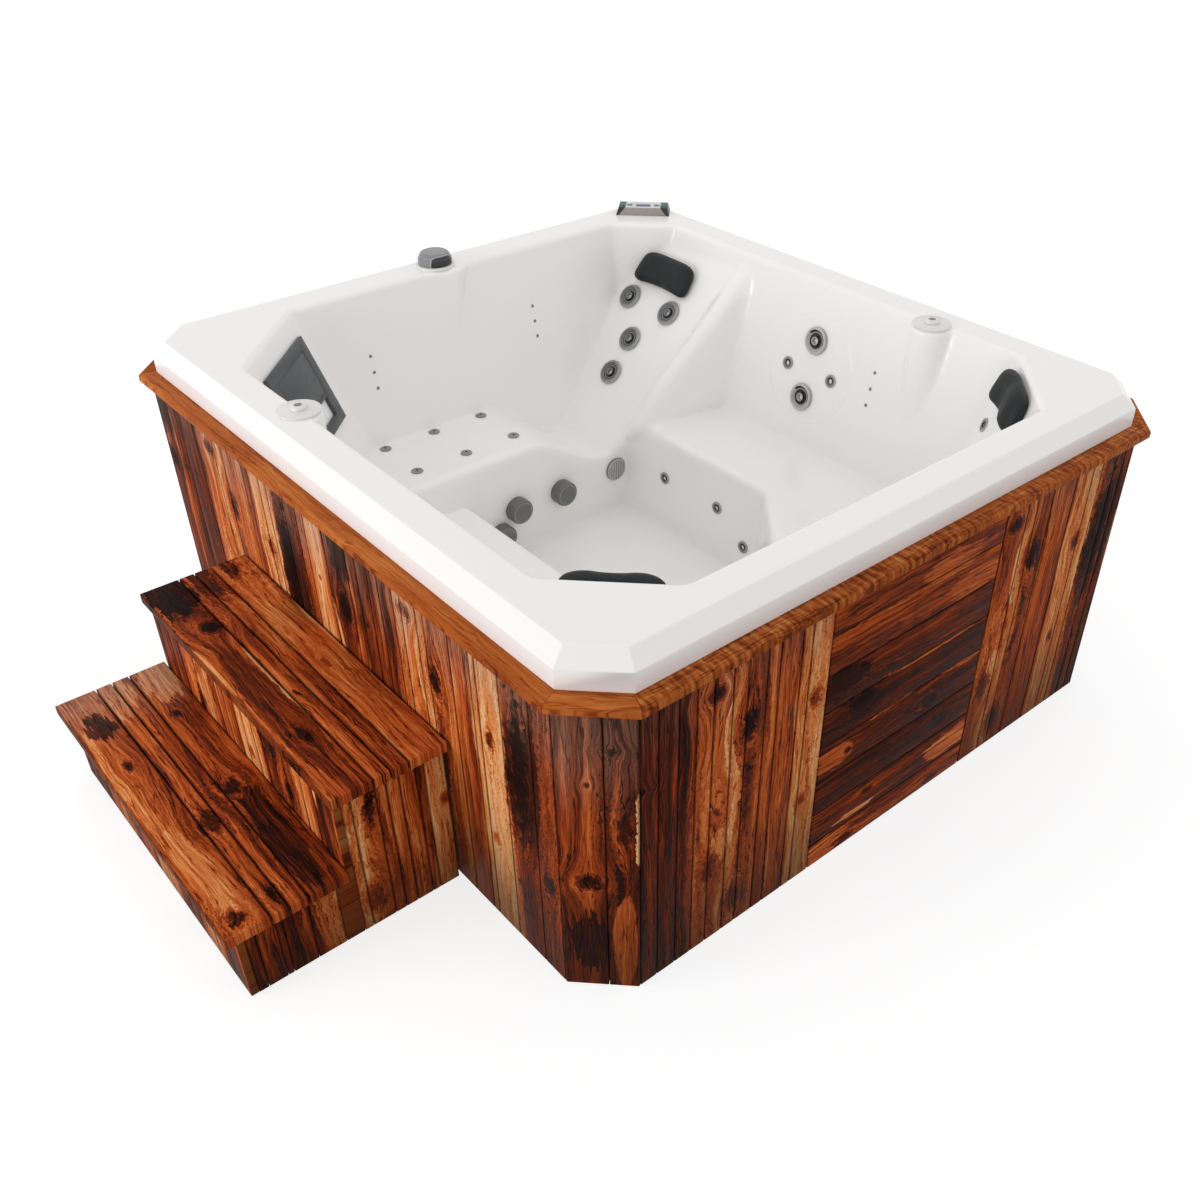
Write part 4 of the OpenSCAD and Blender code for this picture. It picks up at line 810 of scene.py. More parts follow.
# from the darkest tone to the lightest
TIMBER_TONES = [(0.0, (0.01, 0.003, 0.002)), (0.16, (0.032, 0.007, 0.004)), (0.32, (0.105, 0.018, 0.006)),
    (0.48, (0.265, 0.044, 0.009)), (0.62, (0.45, 0.092, 0.018)), (0.76, (0.59, 0.17, 0.043)), (0.9,
    (0.68, 0.315, 0.112)), (1.0, (0.74, 0.45, 0.22))]
WORN_TONES = [(0.0, (0.05, 0.035, 0.03)), (0.5, (0.21, 0.15, 0.12)), (1.0, (0.56, 0.47, 0.38))]


def timber(name, profile, span, knots, patches=(), period=False, shade=None, grey=None, boards=0.1, vivid=1.0,
           lift=0.0, joint=0.62, ripple=0.0, tint=(1.06, 0.97, 0.9)):
    """Oiled figured timber. profile gives the tone across the grain over span, which repeats with period.
    knots lists (across, along, half width, half length, ragged, depth) and patches the same with a tone.
    shade and grey are (from, to, low, high) along the grain. vivid is the strength of the figure, lift
    lightens all, joint darkens the boards' edges, ripple is a figure that runs across the grain and tint
    colours all."""
    made, g, body = finish(name, Specular_IOR_Level=0.03)
    grain = g.split(g.stored("grain"))
    across = grain["X"]
    if period:
        across = g.math("WRAP", across, span[1], span[0])
    vector = g.join(across, grain["Y"], 0.0)
    dark, ring = 0.0, 0.0
    for x, y, half, tall, ragged, depth in knots:
        out = g.place(KNOT, {"Grain": vector, "Dark": dark, "Ring": ring, "Centre": (x, y, 0),
                             "Size": (half, tall, 1), "Ragged": ragged, "Depth": depth})
        vector, dark, ring = out["Grain"], out["Dark"], out["Ring"]
    fibre = g.place(FIBRES, {"Grain": vector, "Number": grain["Z"], "Wander": 0.012})
    bent = g.split(vector)["X"]
    level = g.math("DIVIDE", g.minus(bent, span[0]), span[1] - span[0])
    tone = g.plus(g.split(g.ramp(level, profile))["X"], g.swing(fibre["Broad"], 0.7 * vivid))
    if lift:
        tone = g.plus(tone, lift)
    if ripple:
        wave = g.noise(g.join(g.mul(bent, 22.0), g.mul(grain["Y"], 90.0), 3.0), 1.0, 3.0)
        tone = g.plus(tone, g.swing(wave, ripple))
    for x, y, half, tall, ragged, target in patches:
        tone = g.place(PATCH, {"Grain": vector, "Tone": tone, "Centre": (x, y, 0), "Size": (half, tall, 1),
                               "Ragged": ragged, "Target": target})["Tone"]
    for figure, share in ((fibre["Medium"], 0.95 * vivid), (fibre["Fine"], 0.48 * vivid),
                          (grain["Z"], boards)):
        tone = g.plus(tone, g.swing(figure, share))
    tone = g.minus(tone, g.mul(fibre["Line"], 0.36 * vivid))
    if knots:
        tone = g.plus(g.minus(tone, g.mul(dark, 0.46)), g.mul(ring, 0.09))
    colour = g.ramp(tone, TIMBER_TONES)
    if grey:
        worn = g.between(g.plus(grain["Y"], g.swing(fibre["Broad"], 0.35)), *grey)
        colour = g.blend(worn, colour, g.ramp(tone, WORN_TONES))
    colour = g.blend(1.0, colour, (*tint, 1), "MULTIPLY")
    if shade:
        colour = g.dim(colour, g.between(grain["Y"], *shade))
    if joint:
        edge = g.split(g.stored("edge"))
        near_edge = g.math("MINIMUM", edge["X"], edge["Y"])
        colour = g.dim(colour, g.between(near_edge, 0.0008, 0.0042, 1.0 - joint, 1.0))
    g.feed(body.inputs["Base Color"], colour)
    g.feed(body.inputs["Roughness"], g.between(fibre["Medium"], 0.3, 0.7, 0.46, 0.66))
    height = g.plus(g.mul(fibre["Fine"], 0.5), g.mul(fibre["Medium"], 0.6))
    g.bump(body, g.minus(height, g.mul(fibre["Line"], 0.6)), 0.35, 0.0012)
    return made


def mould_skin(g, body, size, roughness, less, more, skin):
    """Wires a moulding's roughness and fine skin, and gives its slow unevenness and its dust."""
    out = g.place(MOULD, {"Place": g.add("TexCoord").outputs["Object"], "Size": size, "Skin": FINE_SKIN})
    g.feed(body.inputs["Roughness"], g.between(out["Slow"], 0.3, 0.7, roughness - less, roughness + more))
    g.bump(body, out["Skin"], skin, 0.0006)
    return out


def moulded(name, colour, roughness=0.35, size=60.0, vary=0.1, dust=0.0, skin=0.06, **shader):
    """Moulded plastic with a fine skin and slow unevenness."""
    made, g, body = finish(name, **shader)
    out = mould_skin(g, body, size, roughness, 0.05, 0.06, skin)
    dark, light = ((*(min(1, v * way) for v in colour), 1) for way in (1 - vary, 1 + vary))
    tint = g.blend(out["Slow"], dark, light)
    if dust:
        tint = g.blend(g.mul(out["Dust"], dust), tint, (0.62, 0.6, 0.57, 1))
    g.feed(body.inputs["Base Color"], tint)
    return made


def patterned(name, roughness, pattern):
    """A moulding coloured by a point's place in its fitting's own frame and its distance from the axis."""
    made, g, body = finish(name)
    local = g.stored("local")
    colour = pattern(g, g.split(local), g.vec("LENGTH", g.vec("MULTIPLY", local, (1, 1, 0))))
    out = mould_skin(g, body, 70.0, roughness, 0.04, 0.05, 0.05)
    uneven = g.between(out["Slow"], 0.2, 0.8, 0.9, 1.08, smooth=False)
    g.feed(body.inputs["Base Color"], g.dim(colour, uneven))
    return made


def rings(outer, stops, shaded_upper_rings=None):
    """Rings of colour from a round fitting's middle out. shaded_upper_rings holds other rings for its upper
    side, darker in the groove or recess as painted shade.
    """
    def pattern(g, at, radius):
        share = g.math("DIVIDE", radius, outer)
        colour = g.ramp(share, stops, "CONSTANT")
        if not shaded_upper_rings:
            return colour
        # the upper side, where the other rings paint the shade that falls in the groove and the recess
        side = g.plus(g.mul(at["X"], 0.45), g.mul(at["Y"], 0.9))
        side = g.between(g.math("DIVIDE", side, g.math("MAXIMUM", radius, 0.0005)), 0.05, 0.35)
        return g.blend(side, colour, g.ramp(share, shaded_upper_rings, "CONSTANT"))
    return pattern


def acrylic():
    """White acrylic, with the round raised field behind the two wall jets as a fine step."""
    made, g, body = finish("white_acrylic")
    place = g.add("TexCoord").outputs["Object"]
    skin = g.place(MOULD, {"Place": place, "Size": 5.0, "Skin": FINE_SKIN})
    white = g.blend(skin["Slow"], (0.942, 0.928, 0.917, 1), (0.952, 0.938, 0.927, 1))
    g.feed(body.inputs["Base Color"], white)
    g.feed(body.inputs["Roughness"], g.between(skin["Slow"], 0.3, 0.7, 0.16, 0.26))
    from_middle = g.vec("SUBTRACT", place, (-0.01, 0.737, 0.655))
    rise = g.vec("DOT_PRODUCT", from_middle, (0.0, -0.97, 0.243))
    flat = g.minus(g.vec("DOT_PRODUCT", from_middle, from_middle), g.mul(rise, rise))
    away = g.math("SQRT", g.math("MAXIMUM", flat, 0.0))
    field = g.mul(g.between(away, 0.164, 0.16), g.between(g.math("ABSOLUTE", rise), 0.03, 0.02))
    g.bump(body, g.plus(field, g.mul(skin["Skin"], 0.02)), 0.6, 0.0016)
    return made


def painted_recess(g, at, radius):
    """A rounded recess in the side of the diverter's grey cap: its dark is painted shade for the recess's
    hollow, with a pale rim round it.
    """
    wide, tall = (g.math("POWER", g.math("ABSOLUTE", g.math("DIVIDE", side, half)), 4.0)
                  for side, half in ((at["Y"], 0.037), (g.minus(at["Z"], 0.004), 0.033)))
    far = g.plus(wide, tall)
    front = g.between(at["X"], 0.002, 0.006)
    # the rim and the recess's painted shade, on the cap's front only
    rim, recess = g.mul(g.between(far, 1.45, 1.15), front), g.mul(g.between(far, 1.1, 0.95), front)
    colour = g.blend(rim, (0.235, 0.238, 0.243, 1), (0.42, 0.42, 0.42, 1))
    return g.blend(recess, colour, (0.026, 0.027, 0.029, 1))


def console(g, at, radius):
    """Black ends, a taupe front whose ribs are stripes of painted light and shade, and a pale top, for the
    control panel's housing.
    """
    # stripes of painted light and shade that stand for the front's ribs
    ribs = g.between(g.math("SINE", g.mul(at["Z"], 1900.0)), -1.0, 1.0, 0.78, 1.06)
    front = g.dim((0.34, 0.305, 0.28, 1), ribs)
    colour = g.blend(g.between(at["Z"], 0.0228, 0.0236), front, (0.7, 0.66, 0.62, 1))
    reach = g.plus(g.math("ABSOLUTE", at["X"]), g.mul(at["Z"], 0.95))
    return g.blend(g.between(reach, 0.0815, 0.0825), colour, (0.014, 0.013, 0.013, 1))


def ribbed_lens(g, at, radius):
    """Upright ribs as stripes of painted light and shade, and a rim, for the light's pale lens."""
    # stripes of painted light and shade that stand for the lens's ribs
    wave = g.between(g.math("SINE", g.mul(at["X"], 820.0)), -1.0, 1.0, 0.24, 0.46)
    colour = g.blend(g.between(radius, 0.0345, 0.0355), g.join(wave, wave, wave), (0.5, 0.5, 0.5, 1))
    return g.blend(g.between(radius, 0.0375, 0.0385), colour, (0.2, 0.2, 0.2, 1))


PINE_TONES = [(0.3, (0.3, 0.165, 0.075)), (0.5, (0.47, 0.29, 0.145)), (0.72, (0.6, 0.41, 0.23))]
STAIN_TONES = [(0.3, (0.02, 0.006, 0.003)), (0.5, (0.085, 0.026, 0.01)), (0.72, (0.2, 0.075, 0.03))]


def plain_timber(name, stretch, stops=PINE_TONES):
    """Sawn frame timber, its grain by stretched noise."""
    made, g, body = finish(name, Specular_IOR_Level=0.15, Roughness=0.62)
    streak = g.noise(g.scaled(g.add("TexCoord").outputs["Object"], stretch), 1.0, 5.0, 0.6, 0.4)
    g.feed(body.inputs["Base Color"], g.ramp(streak, stops))
    g.bump(body, streak, 0.3, 0.001)
    return made


# Finishes

ACRYLIC = acrylic()
WHITE = moulded("white_plastic_finish", (0.78, 0.77, 0.75), 0.28, 40.0, 0.03)
PALE_GREY = moulded("pale_grey_plastic", (0.36, 0.36, 0.355), 0.38, 60.0, 0.08)
JET_GREY = moulded("jet_grey_finish", (0.2, 0.203, 0.208), 0.3, 80.0, 0.12, dust=0.2)
# the second list of rings is the upper side, with its groove painted black as painted shade
JET_LIGHT = patterned("jet_light_finish", 0.34, rings(0.0425,
    [(0.0, 0.004), (0.21, 0.38), (0.3, 0.004), (0.56, 0.34), (0.66, 0.46), (0.74, 0.36), (0.78, 0.5),
    (0.97, 0.3)],
    [(0.0, 0.004), (0.21, 0.38), (0.3, 0.004), (0.56, 0.32), (0.65, 0.004), (0.8, 0.5), (0.97, 0.3)]))
JET_DARK = patterned("jet_dark_finish", 0.34, rings(0.0425, [(0.0, 0.006), (0.19, 0.24), (0.29, 0.006),
    (0.46, 0.2), (0.56, 0.01), (0.62, 0.22), (0.7, 0.15), (0.78, 0.28), (0.94, 0.42)]))
# the second list of rings is the upper side, with the ball in the middle painted black as painted shade and
# the ring round it a little lighter
JET_SMALL = patterned("small_jet_finish", 0.34, rings(0.02,
    [(0.0, 0.008), (0.42, 0.36), (0.5, 0.03), (0.62, 0.26), (0.8, 0.38)],
    [(0.0, 0.008), (0.5, 0.012), (0.62, 0.3), (0.8, 0.38)]))
INJECTOR = patterned("injector_finish", 0.34, rings(0.018, [(0.0, 0.008), (0.24, 0.32), (0.48, 0.06),
    (0.6, 0.34), (0.88, 0.24)]))
SUCTION_GREY = patterned("suction_grey_finish", 0.42, rings(0.041, [(0.0, 0.15), (0.76, 0.3), (0.81, 0.15)]))
SKIMMER_GREY = moulded("skimmer_finish", (0.06, 0.066, 0.07), 0.4, 50.0, 0.12)
BLACK = moulded("black_plastic_finish", (0.012, 0.012, 0.013), 0.3, 80.0, 0.2)
CAP_GREY = patterned("cap_grey_finish", 0.34, painted_recess)
KNOB = patterned("knob_finish", 0.3, rings(0.022, [(0.0, (0.21, 0.17, 0.155)), (0.44, 0.6), (0.5, 0.78)]))
LENS = patterned("lens_finish", 0.22, ribbed_lens)
BODY_WHITE = moulded("fitting_body_finish", (0.55, 0.55, 0.54), 0.45, 30.0, 0.08, dust=0.3)
PAN_BLACK = moulded("pan_finish", (0.035, 0.035, 0.038), 0.6, 12.0, 0.25, dust=0.5)
CONSOLE = patterned("console_finish", 0.36, console)
KEY_TEAL = moulded("key_finish", (0.03, 0.22, 0.3), 0.5, 200.0, 0.15)
SCREEN = moulded("screen_finish", (0.012, 0.03, 0.16), 0.1, 30.0, 0.2)
MOTOR = moulded("motor_paint_finish", (0.055, 0.06, 0.07), 0.42, 40.0, 0.15, dust=0.4)
STEEL = moulded("steel_finish", (0.55, 0.55, 0.56), 0.3, 90.0, 0.08, Metallic=1.0)
MEDIA = moulded("filter_finish", (0.72, 0.72, 0.74), 0.85, 25.0, 0.06, dust=0.3)
PILLOW_SKIN = moulded("pillow_finish", (0.013, 0.0145, 0.0155), 0.58, 30.0, 0.15, skin=0.25,
    Specular_IOR_Level=0.28)
PINE_UP = plain_timber("upright_frame_timber", (90, 90, 7))
PINE_FLAT = plain_timber("level_frame_timber", (7, 7, 110))
STAINED = plain_timber("stained_frame_timber", (70, 70, 9), STAIN_TONES)

# tone of the cladding across one repeat of its boards: 0 is black-brown and 1 is cream
CLAD_SPAN = (-0.86, 0.11)
CLAD_TONES = [(0.0, 0.26), (0.06, 0.3), (0.12, 0.34), (0.17, 0.3), (0.2, 0.62), (0.27, 0.66), (0.295, 0.86),
    (0.315, 0.78), (0.335, 0.5), (0.38, 0.5), (0.4, 0.62), (0.46, 0.56), (0.485, 0.42), (0.5, 0.82),
    (0.56, 0.8), (0.6, 0.86), (0.625, 0.76), (0.64, 0.36), (0.7, 0.34), (0.76, 0.44), (0.785, 0.74),
    (0.86, 0.76), (0.885, 0.34), (0.96, 0.26), (0.985, 0.62), (1.0, 0.3)]
CLAD_KNOTS = [(-0.625, 0.735, 0.03, 0.024, 0.25, 0.9), (-0.527, 0.6, 0.022, 0.044, 0.7, 1.0),
    (-0.524, 0.41, 0.014, 0.13, 0.6, 0.55), (-0.327, 0.57, 0.02, 0.032, 0.4, 1.0),
    (-0.338, 0.27, 0.014, 0.022, 0.5, 0.8), (-0.6, 0.45, 0.03, 0.05, 0.9, 0.35),
    (-0.628, 0.25, 0.024, 0.06, 1.0, 0.7), (-0.55, 0.09, 0.034, 0.06, 0.4, 0.8),
    (-0.225, 0.56, 0.034, 0.17, 0.9, 0.75), (-0.24, 0.52, 0.014, 0.018, 0.4, 1.0),
    (-0.15, 0.285, 0.026, 0.034, 0.4, 0.8), (-0.062, 0.612, 0.01, 0.01, 0.4, 1.0),
    (0.055, 0.585, 0.028, 0.04, 0.5, 1.0), (-0.817, 0.59, 0.016, 0.008, 1.0, 0.6)]
CLAD_PATCHES = [(-0.215, 0.52, 0.036, 0.19, 0.5, 0.22), (-0.588, 0.59, 0.006, 0.11, 0.3, 1.0),
    (-0.604, 0.3, 0.018, 0.05, 0.6, 0.88), (-0.262, 0.56, 0.008, 0.16, 0.3, 0.98),
    (-0.61, 0.46, 0.016, 0.036, 0.8, 0.8), (0.008, 0.47, 0.008, 0.12, 0.4, 0.95),
    (-0.5, 0.42, 0.01, 0.15, 0.4, 0.66), (0.06, 0.74, 0.04, 0.08, 0.8, 0.1)]
SIDE_SHADE = (0.02, 0.42, 0.42, 1.0)


def cladding_finish(name, shade, **more):
    """The timber of the upright boards, shaded towards their feet."""
    return timber(name, CLAD_TONES, CLAD_SPAN, CLAD_KNOTS, CLAD_PATCHES, period=True, shade=shade,
                  boards=0.08, **more)


# the panel side's boards use a darker copy of this timber, without the lift and with less grey: painted shade
# for the side turned from the key lamp
CLADDING = cladding_finish("cladding_timber", SIDE_SHADE, grey=(0.56, 0.88, 0.0, 0.55), lift=0.08)
CLADDING_SHADED = cladding_finish("cladding_timber_shaded", SIDE_SHADE, grey=(0.6, 0.9, 0.0, 0.25))
CORNER = timber("corner_timber",
    [(0.0, 0.36), (0.3, 0.5), (0.4, 0.58), (0.46, 0.46), (0.6, 0.3), (0.8, 0.38), (0.92, 0.32), (1.0, 0.28)],
    (0.0, 0.16),
    [(0.06, 0.612, 0.008, 0.009, 0.3, 1.0), (0.058, 0.335, 0.03, 0.026, 0.5, 1.0),
    (0.11, 0.7, 0.016, 0.01, 0.8, 0.7), (0.135, 0.5, 0.018, 0.06, 0.9, 0.5)],
    [(0.151, 0.495, 0.007, 0.095, 0.3, 1.0), (0.132, 0.15, 0.026, 0.15, 0.2, 0.7),
    (0.112, 0.33, 0.012, 0.06, 0.5, 0.14), (0.055, 0.14, 0.04, 0.09, 0.7, 0.24)],
    shade=(0.0, 0.45, 0.38, 1.0), grey=(0.46, 0.84, 0.0, 0.55), boards=0.06, lift=0.07)
PANEL = timber("panel_timber",
    [(0.0, 0.56), (0.09, 0.48), (0.11, 0.24), (0.21, 0.3), (0.24, 0.24), (0.35, 0.28), (0.37, 0.22),
    (0.47, 0.28), (0.485, 0.34), (0.5, 0.26), (0.6, 0.3), (0.61, 0.34), (0.62, 0.3), (0.72, 0.34),
    (0.74, 0.38), (0.84, 0.42), (0.87, 0.5), (1.0, 0.56)], (0.0, 0.806),
    [(0.335, -0.19, 0.012, 0.014, 0.4, 1.0), (0.325, 0.11, 0.022, 0.03, 0.5, 0.9),
    (0.475, -0.16, 0.026, 0.045, 0.9, 0.8), (0.23, 0.17, 0.022, 0.036, 0.5, 0.8),
    (0.145, -0.09, 0.012, 0.024, 0.5, 0.9), (0.025, -0.16, 0.018, 0.036, 0.5, 0.9),
    (0.022, 0.18, 0.012, 0.03, 0.6, 0.8), (0.575, -0.16, 0.01, 0.03, 1.0, 0.5)],
    [(0.492, 0.075, 0.005, 0.16, 0.3, 0.7), (0.392, -0.045, 0.005, 0.085, 0.3, 0.68),
    (0.384, 0.225, 0.007, 0.08, 0.3, 0.66), (0.34, -0.25, 0.036, 0.07, 0.5, 0.6),
    (0.125, 0.24, 0.036, 0.11, 0.5, 0.66), (0.098, -0.13, 0.01, 0.07, 0.5, 0.8),
    (0.04, -0.23, 0.032, 0.08, 0.5, 0.72), (0.64, 0.23, 0.04, 0.11, 0.5, 0.56),
    (0.73, 0.12, 0.03, 0.11, 0.8, 0.66), (0.56, -0.23, 0.04, 0.08, 0.8, 0.14)], boards=0.12)
TREAD_TONES = [(0.0, 0.52), (0.1, 0.6), (0.17, 0.46), (0.25, 0.44), (0.3, 0.36), (0.36, 0.42), (0.46, 0.4),
    (0.5, 0.5), (0.6, 0.38), (0.68, 0.46), (0.8, 0.46), (0.9, 0.54), (1.0, 0.58)]
TREAD_SPAN = (-1.519, -0.944)
UPPER_TREAD = timber("upper_tread_timber", TREAD_TONES, TREAD_SPAN,
    [(-1.16, -0.235, 0.028, 0.032, 0.4, 1.0), (-1.18, -0.35, 0.024, 0.06, 0.9, 0.6),
    (-1.175, 0.28, 0.014, 0.04, 0.7, 0.5), (-1.005, -0.45, 0.03, 0.06, 1.0, 0.8),
    (-1.01, 0.08, 0.01, 0.03, 1.0, 0.5), (-1.118, 0.14, 0.008, 0.02, 0.8, 0.4)],
    [(-1.137, 0.09, 0.005, 0.19, 0.3, 1.0), (-1.228, -0.06, 0.005, 0.11, 0.3, 0.95),
    (-1.05, -0.3, 0.005, 0.1, 0.4, 0.8), (-0.985, 0.26, 0.045, 0.26, 0.5, 0.66),
    (-1.18, -0.46, 0.05, 0.14, 0.7, 0.12), (-1.08, -0.46, 0.04, 0.13, 0.8, 0.3),
    (-1.18, 0.15, 0.04, 0.3, 0.3, 0.4)], boards=0.08, lift=0.13)
LOWER_TREAD = timber("lower_tread_timber", TREAD_TONES, TREAD_SPAN,
    [(-1.29, -0.26, 0.01, 0.018, 0.4, 1.0), (-1.3, 0.085, 0.024, 0.036, 0.6, 0.9),
    (-1.39, 0.16, 0.026, 0.048, 0.4, 0.8), (-1.46, -0.145, 0.014, 0.026, 0.4, 1.0),
    (-1.47, 0.465, 0.022, 0.03, 0.8, 1.0), (-1.385, 0.45, 0.012, 0.03, 0.6, 0.8)],
    [(-1.47, 0.27, 0.036, 0.16, 0.35, 0.84), (-1.5, -0.08, 0.012, 0.26, 0.4, 0.86),
    (-1.27, 0.3, 0.01, 0.16, 0.3, 0.9), (-1.29, 0.3, 0.035, 0.2, 0.3, 0.24),
    (-1.27, -0.43, 0.044, 0.11, 0.5, 0.84), (-1.4, -0.44, 0.06, 0.13, 0.5, 0.76),
    (-1.46, -0.33, 0.03, 0.06, 0.8, 0.26)], grey=(-0.22, -0.5, 0.0, 0.45), boards=0.08, lift=0.11)
STEP_BOARDS = cladding_finish("riser_timber", (-0.02, 0.26, 0.55, 1.0), lift=0.05)
TRIM = timber("trim_timber", [(0.0, 0.62), (0.5, 0.66), (1.0, 0.6)], (0.0, 0.065), [], boards=0.08,
    vivid=0.5, joint=0.0, tint=(0.97, 1.14, 1.08))
# the trim over the access panel: its cross ripple is the grain's own, its darker, browner tone is painted
# shade for the side turned from the key lamp
TRIM_BROWN_SHADED = timber("trim_timber_brown_shaded", [(0.0, 0.56), (0.5, 0.62), (1.0, 0.54)], (0.0, 0.065), [],
    boards=0.06, vivid=0.5, joint=0.0, ripple=0.9, tint=(0.88, 1.08, 1.12))

# Grain of the boards

TRIM_X, TRIM_Y = 1.05, 0.969


def upright(turn, shift):
    """Boards that stand along a side: across is measured along the side and along is the height."""
    return lambda place, middle: (place[:, 0] * turn[0] + place[:, 1] * turn[1] + shift, place[:, 2])


def corner_layout(place, middle):
    """Upright boards of the cut corners, measured along the cut."""
    return ((np.abs(place[:, 0]) - 0.909) - (np.abs(place[:, 1]) - 0.828)) / sqrt(2) + 0.08, place[:, 2]


def lying(across, along):
    """Level boards, by the numbers of the axes across and along them."""
    return lambda place, middle: (place[:, across], place[:, along])


def step_layout(place, middle):
    """Upright boards of the steps: the two sides run along Y and the risers along X."""
    on_side = (middle[:, 0] < -0.4585) | (middle[:, 0] > 0.4765)
    return np.where(on_side, place[:, 1] + 0.62, place[:, 0] - 0.39), place[:, 2]


def trim_layout(place, middle):
    """Along each length of the trim, and across it from its outer edge."""
    ratio_x, ratio_y = np.abs(middle[:, 0]) / TRIM_X, np.abs(middle[:, 1]) / TRIM_Y
    diagonal = (ratio_x > 0.85) & (ratio_y > 0.85)
    sx, sy = np.sign(middle[:, 0]), np.sign(middle[:, 1])
    along_side = np.where(ratio_x > ratio_y, place[:, 1], place[:, 0])
    across_side = np.where(ratio_x > ratio_y, TRIM_X - np.abs(place[:, 0]), TRIM_Y - np.abs(place[:, 1]))
    along = np.where(diagonal, (sx * place[:, 0] - sy * place[:, 1]) / sqrt(2), along_side)
    across = np.where(diagonal, 1.38 - (sx * place[:, 0] + sy * place[:, 1]) / sqrt(2), across_side)
    return across, along


def on_panel_side(x, y, z):
    """Whether a face belongs to the trim's length over the access panel, with a cross ripple and a darker,
    browner tone that is painted shade.
    """
    return x > 0.93 and y > -0.87 and x / TRIM_X > abs(y) / TRIM_Y


def paint(source, look):
    """Gives a CAD solid that stays in view its finish."""
    ob = NODES[source]
    if not ob.material_slots:
        ob.data.materials.append(look)
    for place in ob.material_slots:
        place.material = look


EASED = 0.0016
# piece, CAD solids, slot, finish, layout of the grain, easing of the edges
BOARDED = [
    ("cladding_steps_side", "boards_steps_side", "cabinet_wood", CLADDING, upright((1, 0), -0.037), EASED),
    ("cladding_panel_side", "boards_panel_side", "cabinet_wood", CLADDING_SHADED, upright((0, 1), 0.0), EASED),
    ("cladding_far_side", "boards_far_side", "cabinet_wood", CLADDING, upright((-1, 0), 0.11), EASED),
    ("cladding_lounger_side", "boards_lounger_side", "cabinet_wood", CLADDING, upright((0, -1), 0.31), EASED),
    ("cladding_corners", "corner_boards", "cabinet_wood", CORNER, corner_layout, EASED),
    ("access_panel_boards", "access_boards", "panel_wood", PANEL, lying(2, 1), EASED),
    ("tread_boards", "step_treads", "tread_wood", UPPER_TREAD, lying(1, 0), 0.0025),
    ("step_boards", "step_sides_and_risers", "cabinet_wood", STEP_BOARDS, step_layout, EASED),
    ("trim_lengths", "top_trim", "trim_wood", TRIM, trim_layout, 0.001),
]
# a second finish of a piece, for the faces whose middles pass a test
SECOND = {"step_treads": (LOWER_TREAD, lambda x, y, z: z < 0.3), "top_trim": (TRIM_BROWN_SHADED, on_panel_side)}


def clad_cabinet():
    """Puts up all the pieces of figured wood."""
    for seed, (name, source, slot, look, layout, soft) in enumerate(BOARDED, 3):
        ob = fair_copy(source, name, soft)
        lay_grain(ob, layout, seed)
        take_place(ob, source, look)
        if source in SECOND:
            other, belongs = SECOND[source]
            ob.data.materials.append(other)
            place = vertex_array(ob)
            for face in ob.data.polygons:
                if belongs(*place[list(face.vertices)].mean(axis=0)):
                    face.material_index = 1


def on_wall(index, along, z):
    """A fitting's place on a basin wall: x, y, z, the way it faces and how far it leans back."""
    facing, reach, slope = BASIN_WALLS[index]
    a, out = radians(facing), reach - slope * (RIM - z)
    return (-sin(a) * out + cos(a) * along, cos(a) * out + sin(a) * along, z,
            facing, degrees(atan(slope)))


def on_back(x, z):
    """The same for a fitting on the backrest."""
    return (x, BACK_FOOT_Y + BACK_SLOPE * (z - HIP_Z), z, 0, BACK_LEAN)


# Fittings

SITES = {
    "jet_bezel_back_left": [on_back(-0.759, 0.69)], "jet_bezel_back_right": [on_back(-0.563, 0.69)],
    "jet_bezel_back_middle": [on_back(-0.66, 0.594)], "jet_bezel_back_low": [on_back(-0.66, 0.499)],
    "jet_bezel_wall_high": [on_wall(0, -0.01, 0.744)], "jet_bezel_wall_low": [on_wall(0, -0.014, 0.571)],
    "small_jets": [on_wall(0, -0.099, 0.65), on_wall(0, 0.08, 0.65), on_wall(7, -0.062, 0.722),
                   (-0.277, 0.383, 0.291, 0, 3.4), (-0.03, 0.383, 0.291, 0, 3.4),
                   (0.097, 0.378, 0.21, 0, 3.4)],
    "air_injectors": [(x, y, LEG_REST, 0, 90) for x in (-0.754, -0.571) for y in (0.003, -0.174, -0.35)],
    "suction_covers": [(-LOUNGER_EDGE, y, z, 90, 0)
                       for y, z in ((0.109, 0.258), (-0.067, 0.26), (-0.134, 0.188))],
    "light_lens": [(-LOUNGER_EDGE, 0.338, 0.257, 90, 0)],
    "diverter_cap": [(-0.912, -0.012, RIM, 0, 90)],
    "air_knob_steps_side": [(*VALVES_AT[0], RIM, 0, 90)], "air_knob_far_side": [(*VALVES_AT[1], RIM, 0, 90)],
    "topside_housing": [(-0.88388, 0.8061, RIM, 45, 90)],
}


def lay_local(ob, sites):
    """Stores each point's place in its own fitting's frame: across, up its face and out of it."""
    place = vertex_array(ob)
    piece = islands(ob) if len(sites) > 1 else np.zeros(len(place), int)
    values = np.empty_like(place)
    for number in range(piece.max() + 1):
        mine = piece == number
        centre = place[mine].mean(axis=0)
        x, y, z, facing, lean = min(sites, key=lambda q: float(np.linalg.norm(centre - np.array(q[:3]))))
        f, l = radians(facing), radians(lean)
        axes = np.array([(cos(f), sin(f), 0),
                         (-sin(f) * sin(l), cos(f) * sin(l), cos(l)),
                         (sin(f) * cos(l), -cos(f) * cos(l), sin(l))])
        values[mine] = (place[mine] - np.array((x, y, z))) @ axes.T
    store(ob, "local", values)


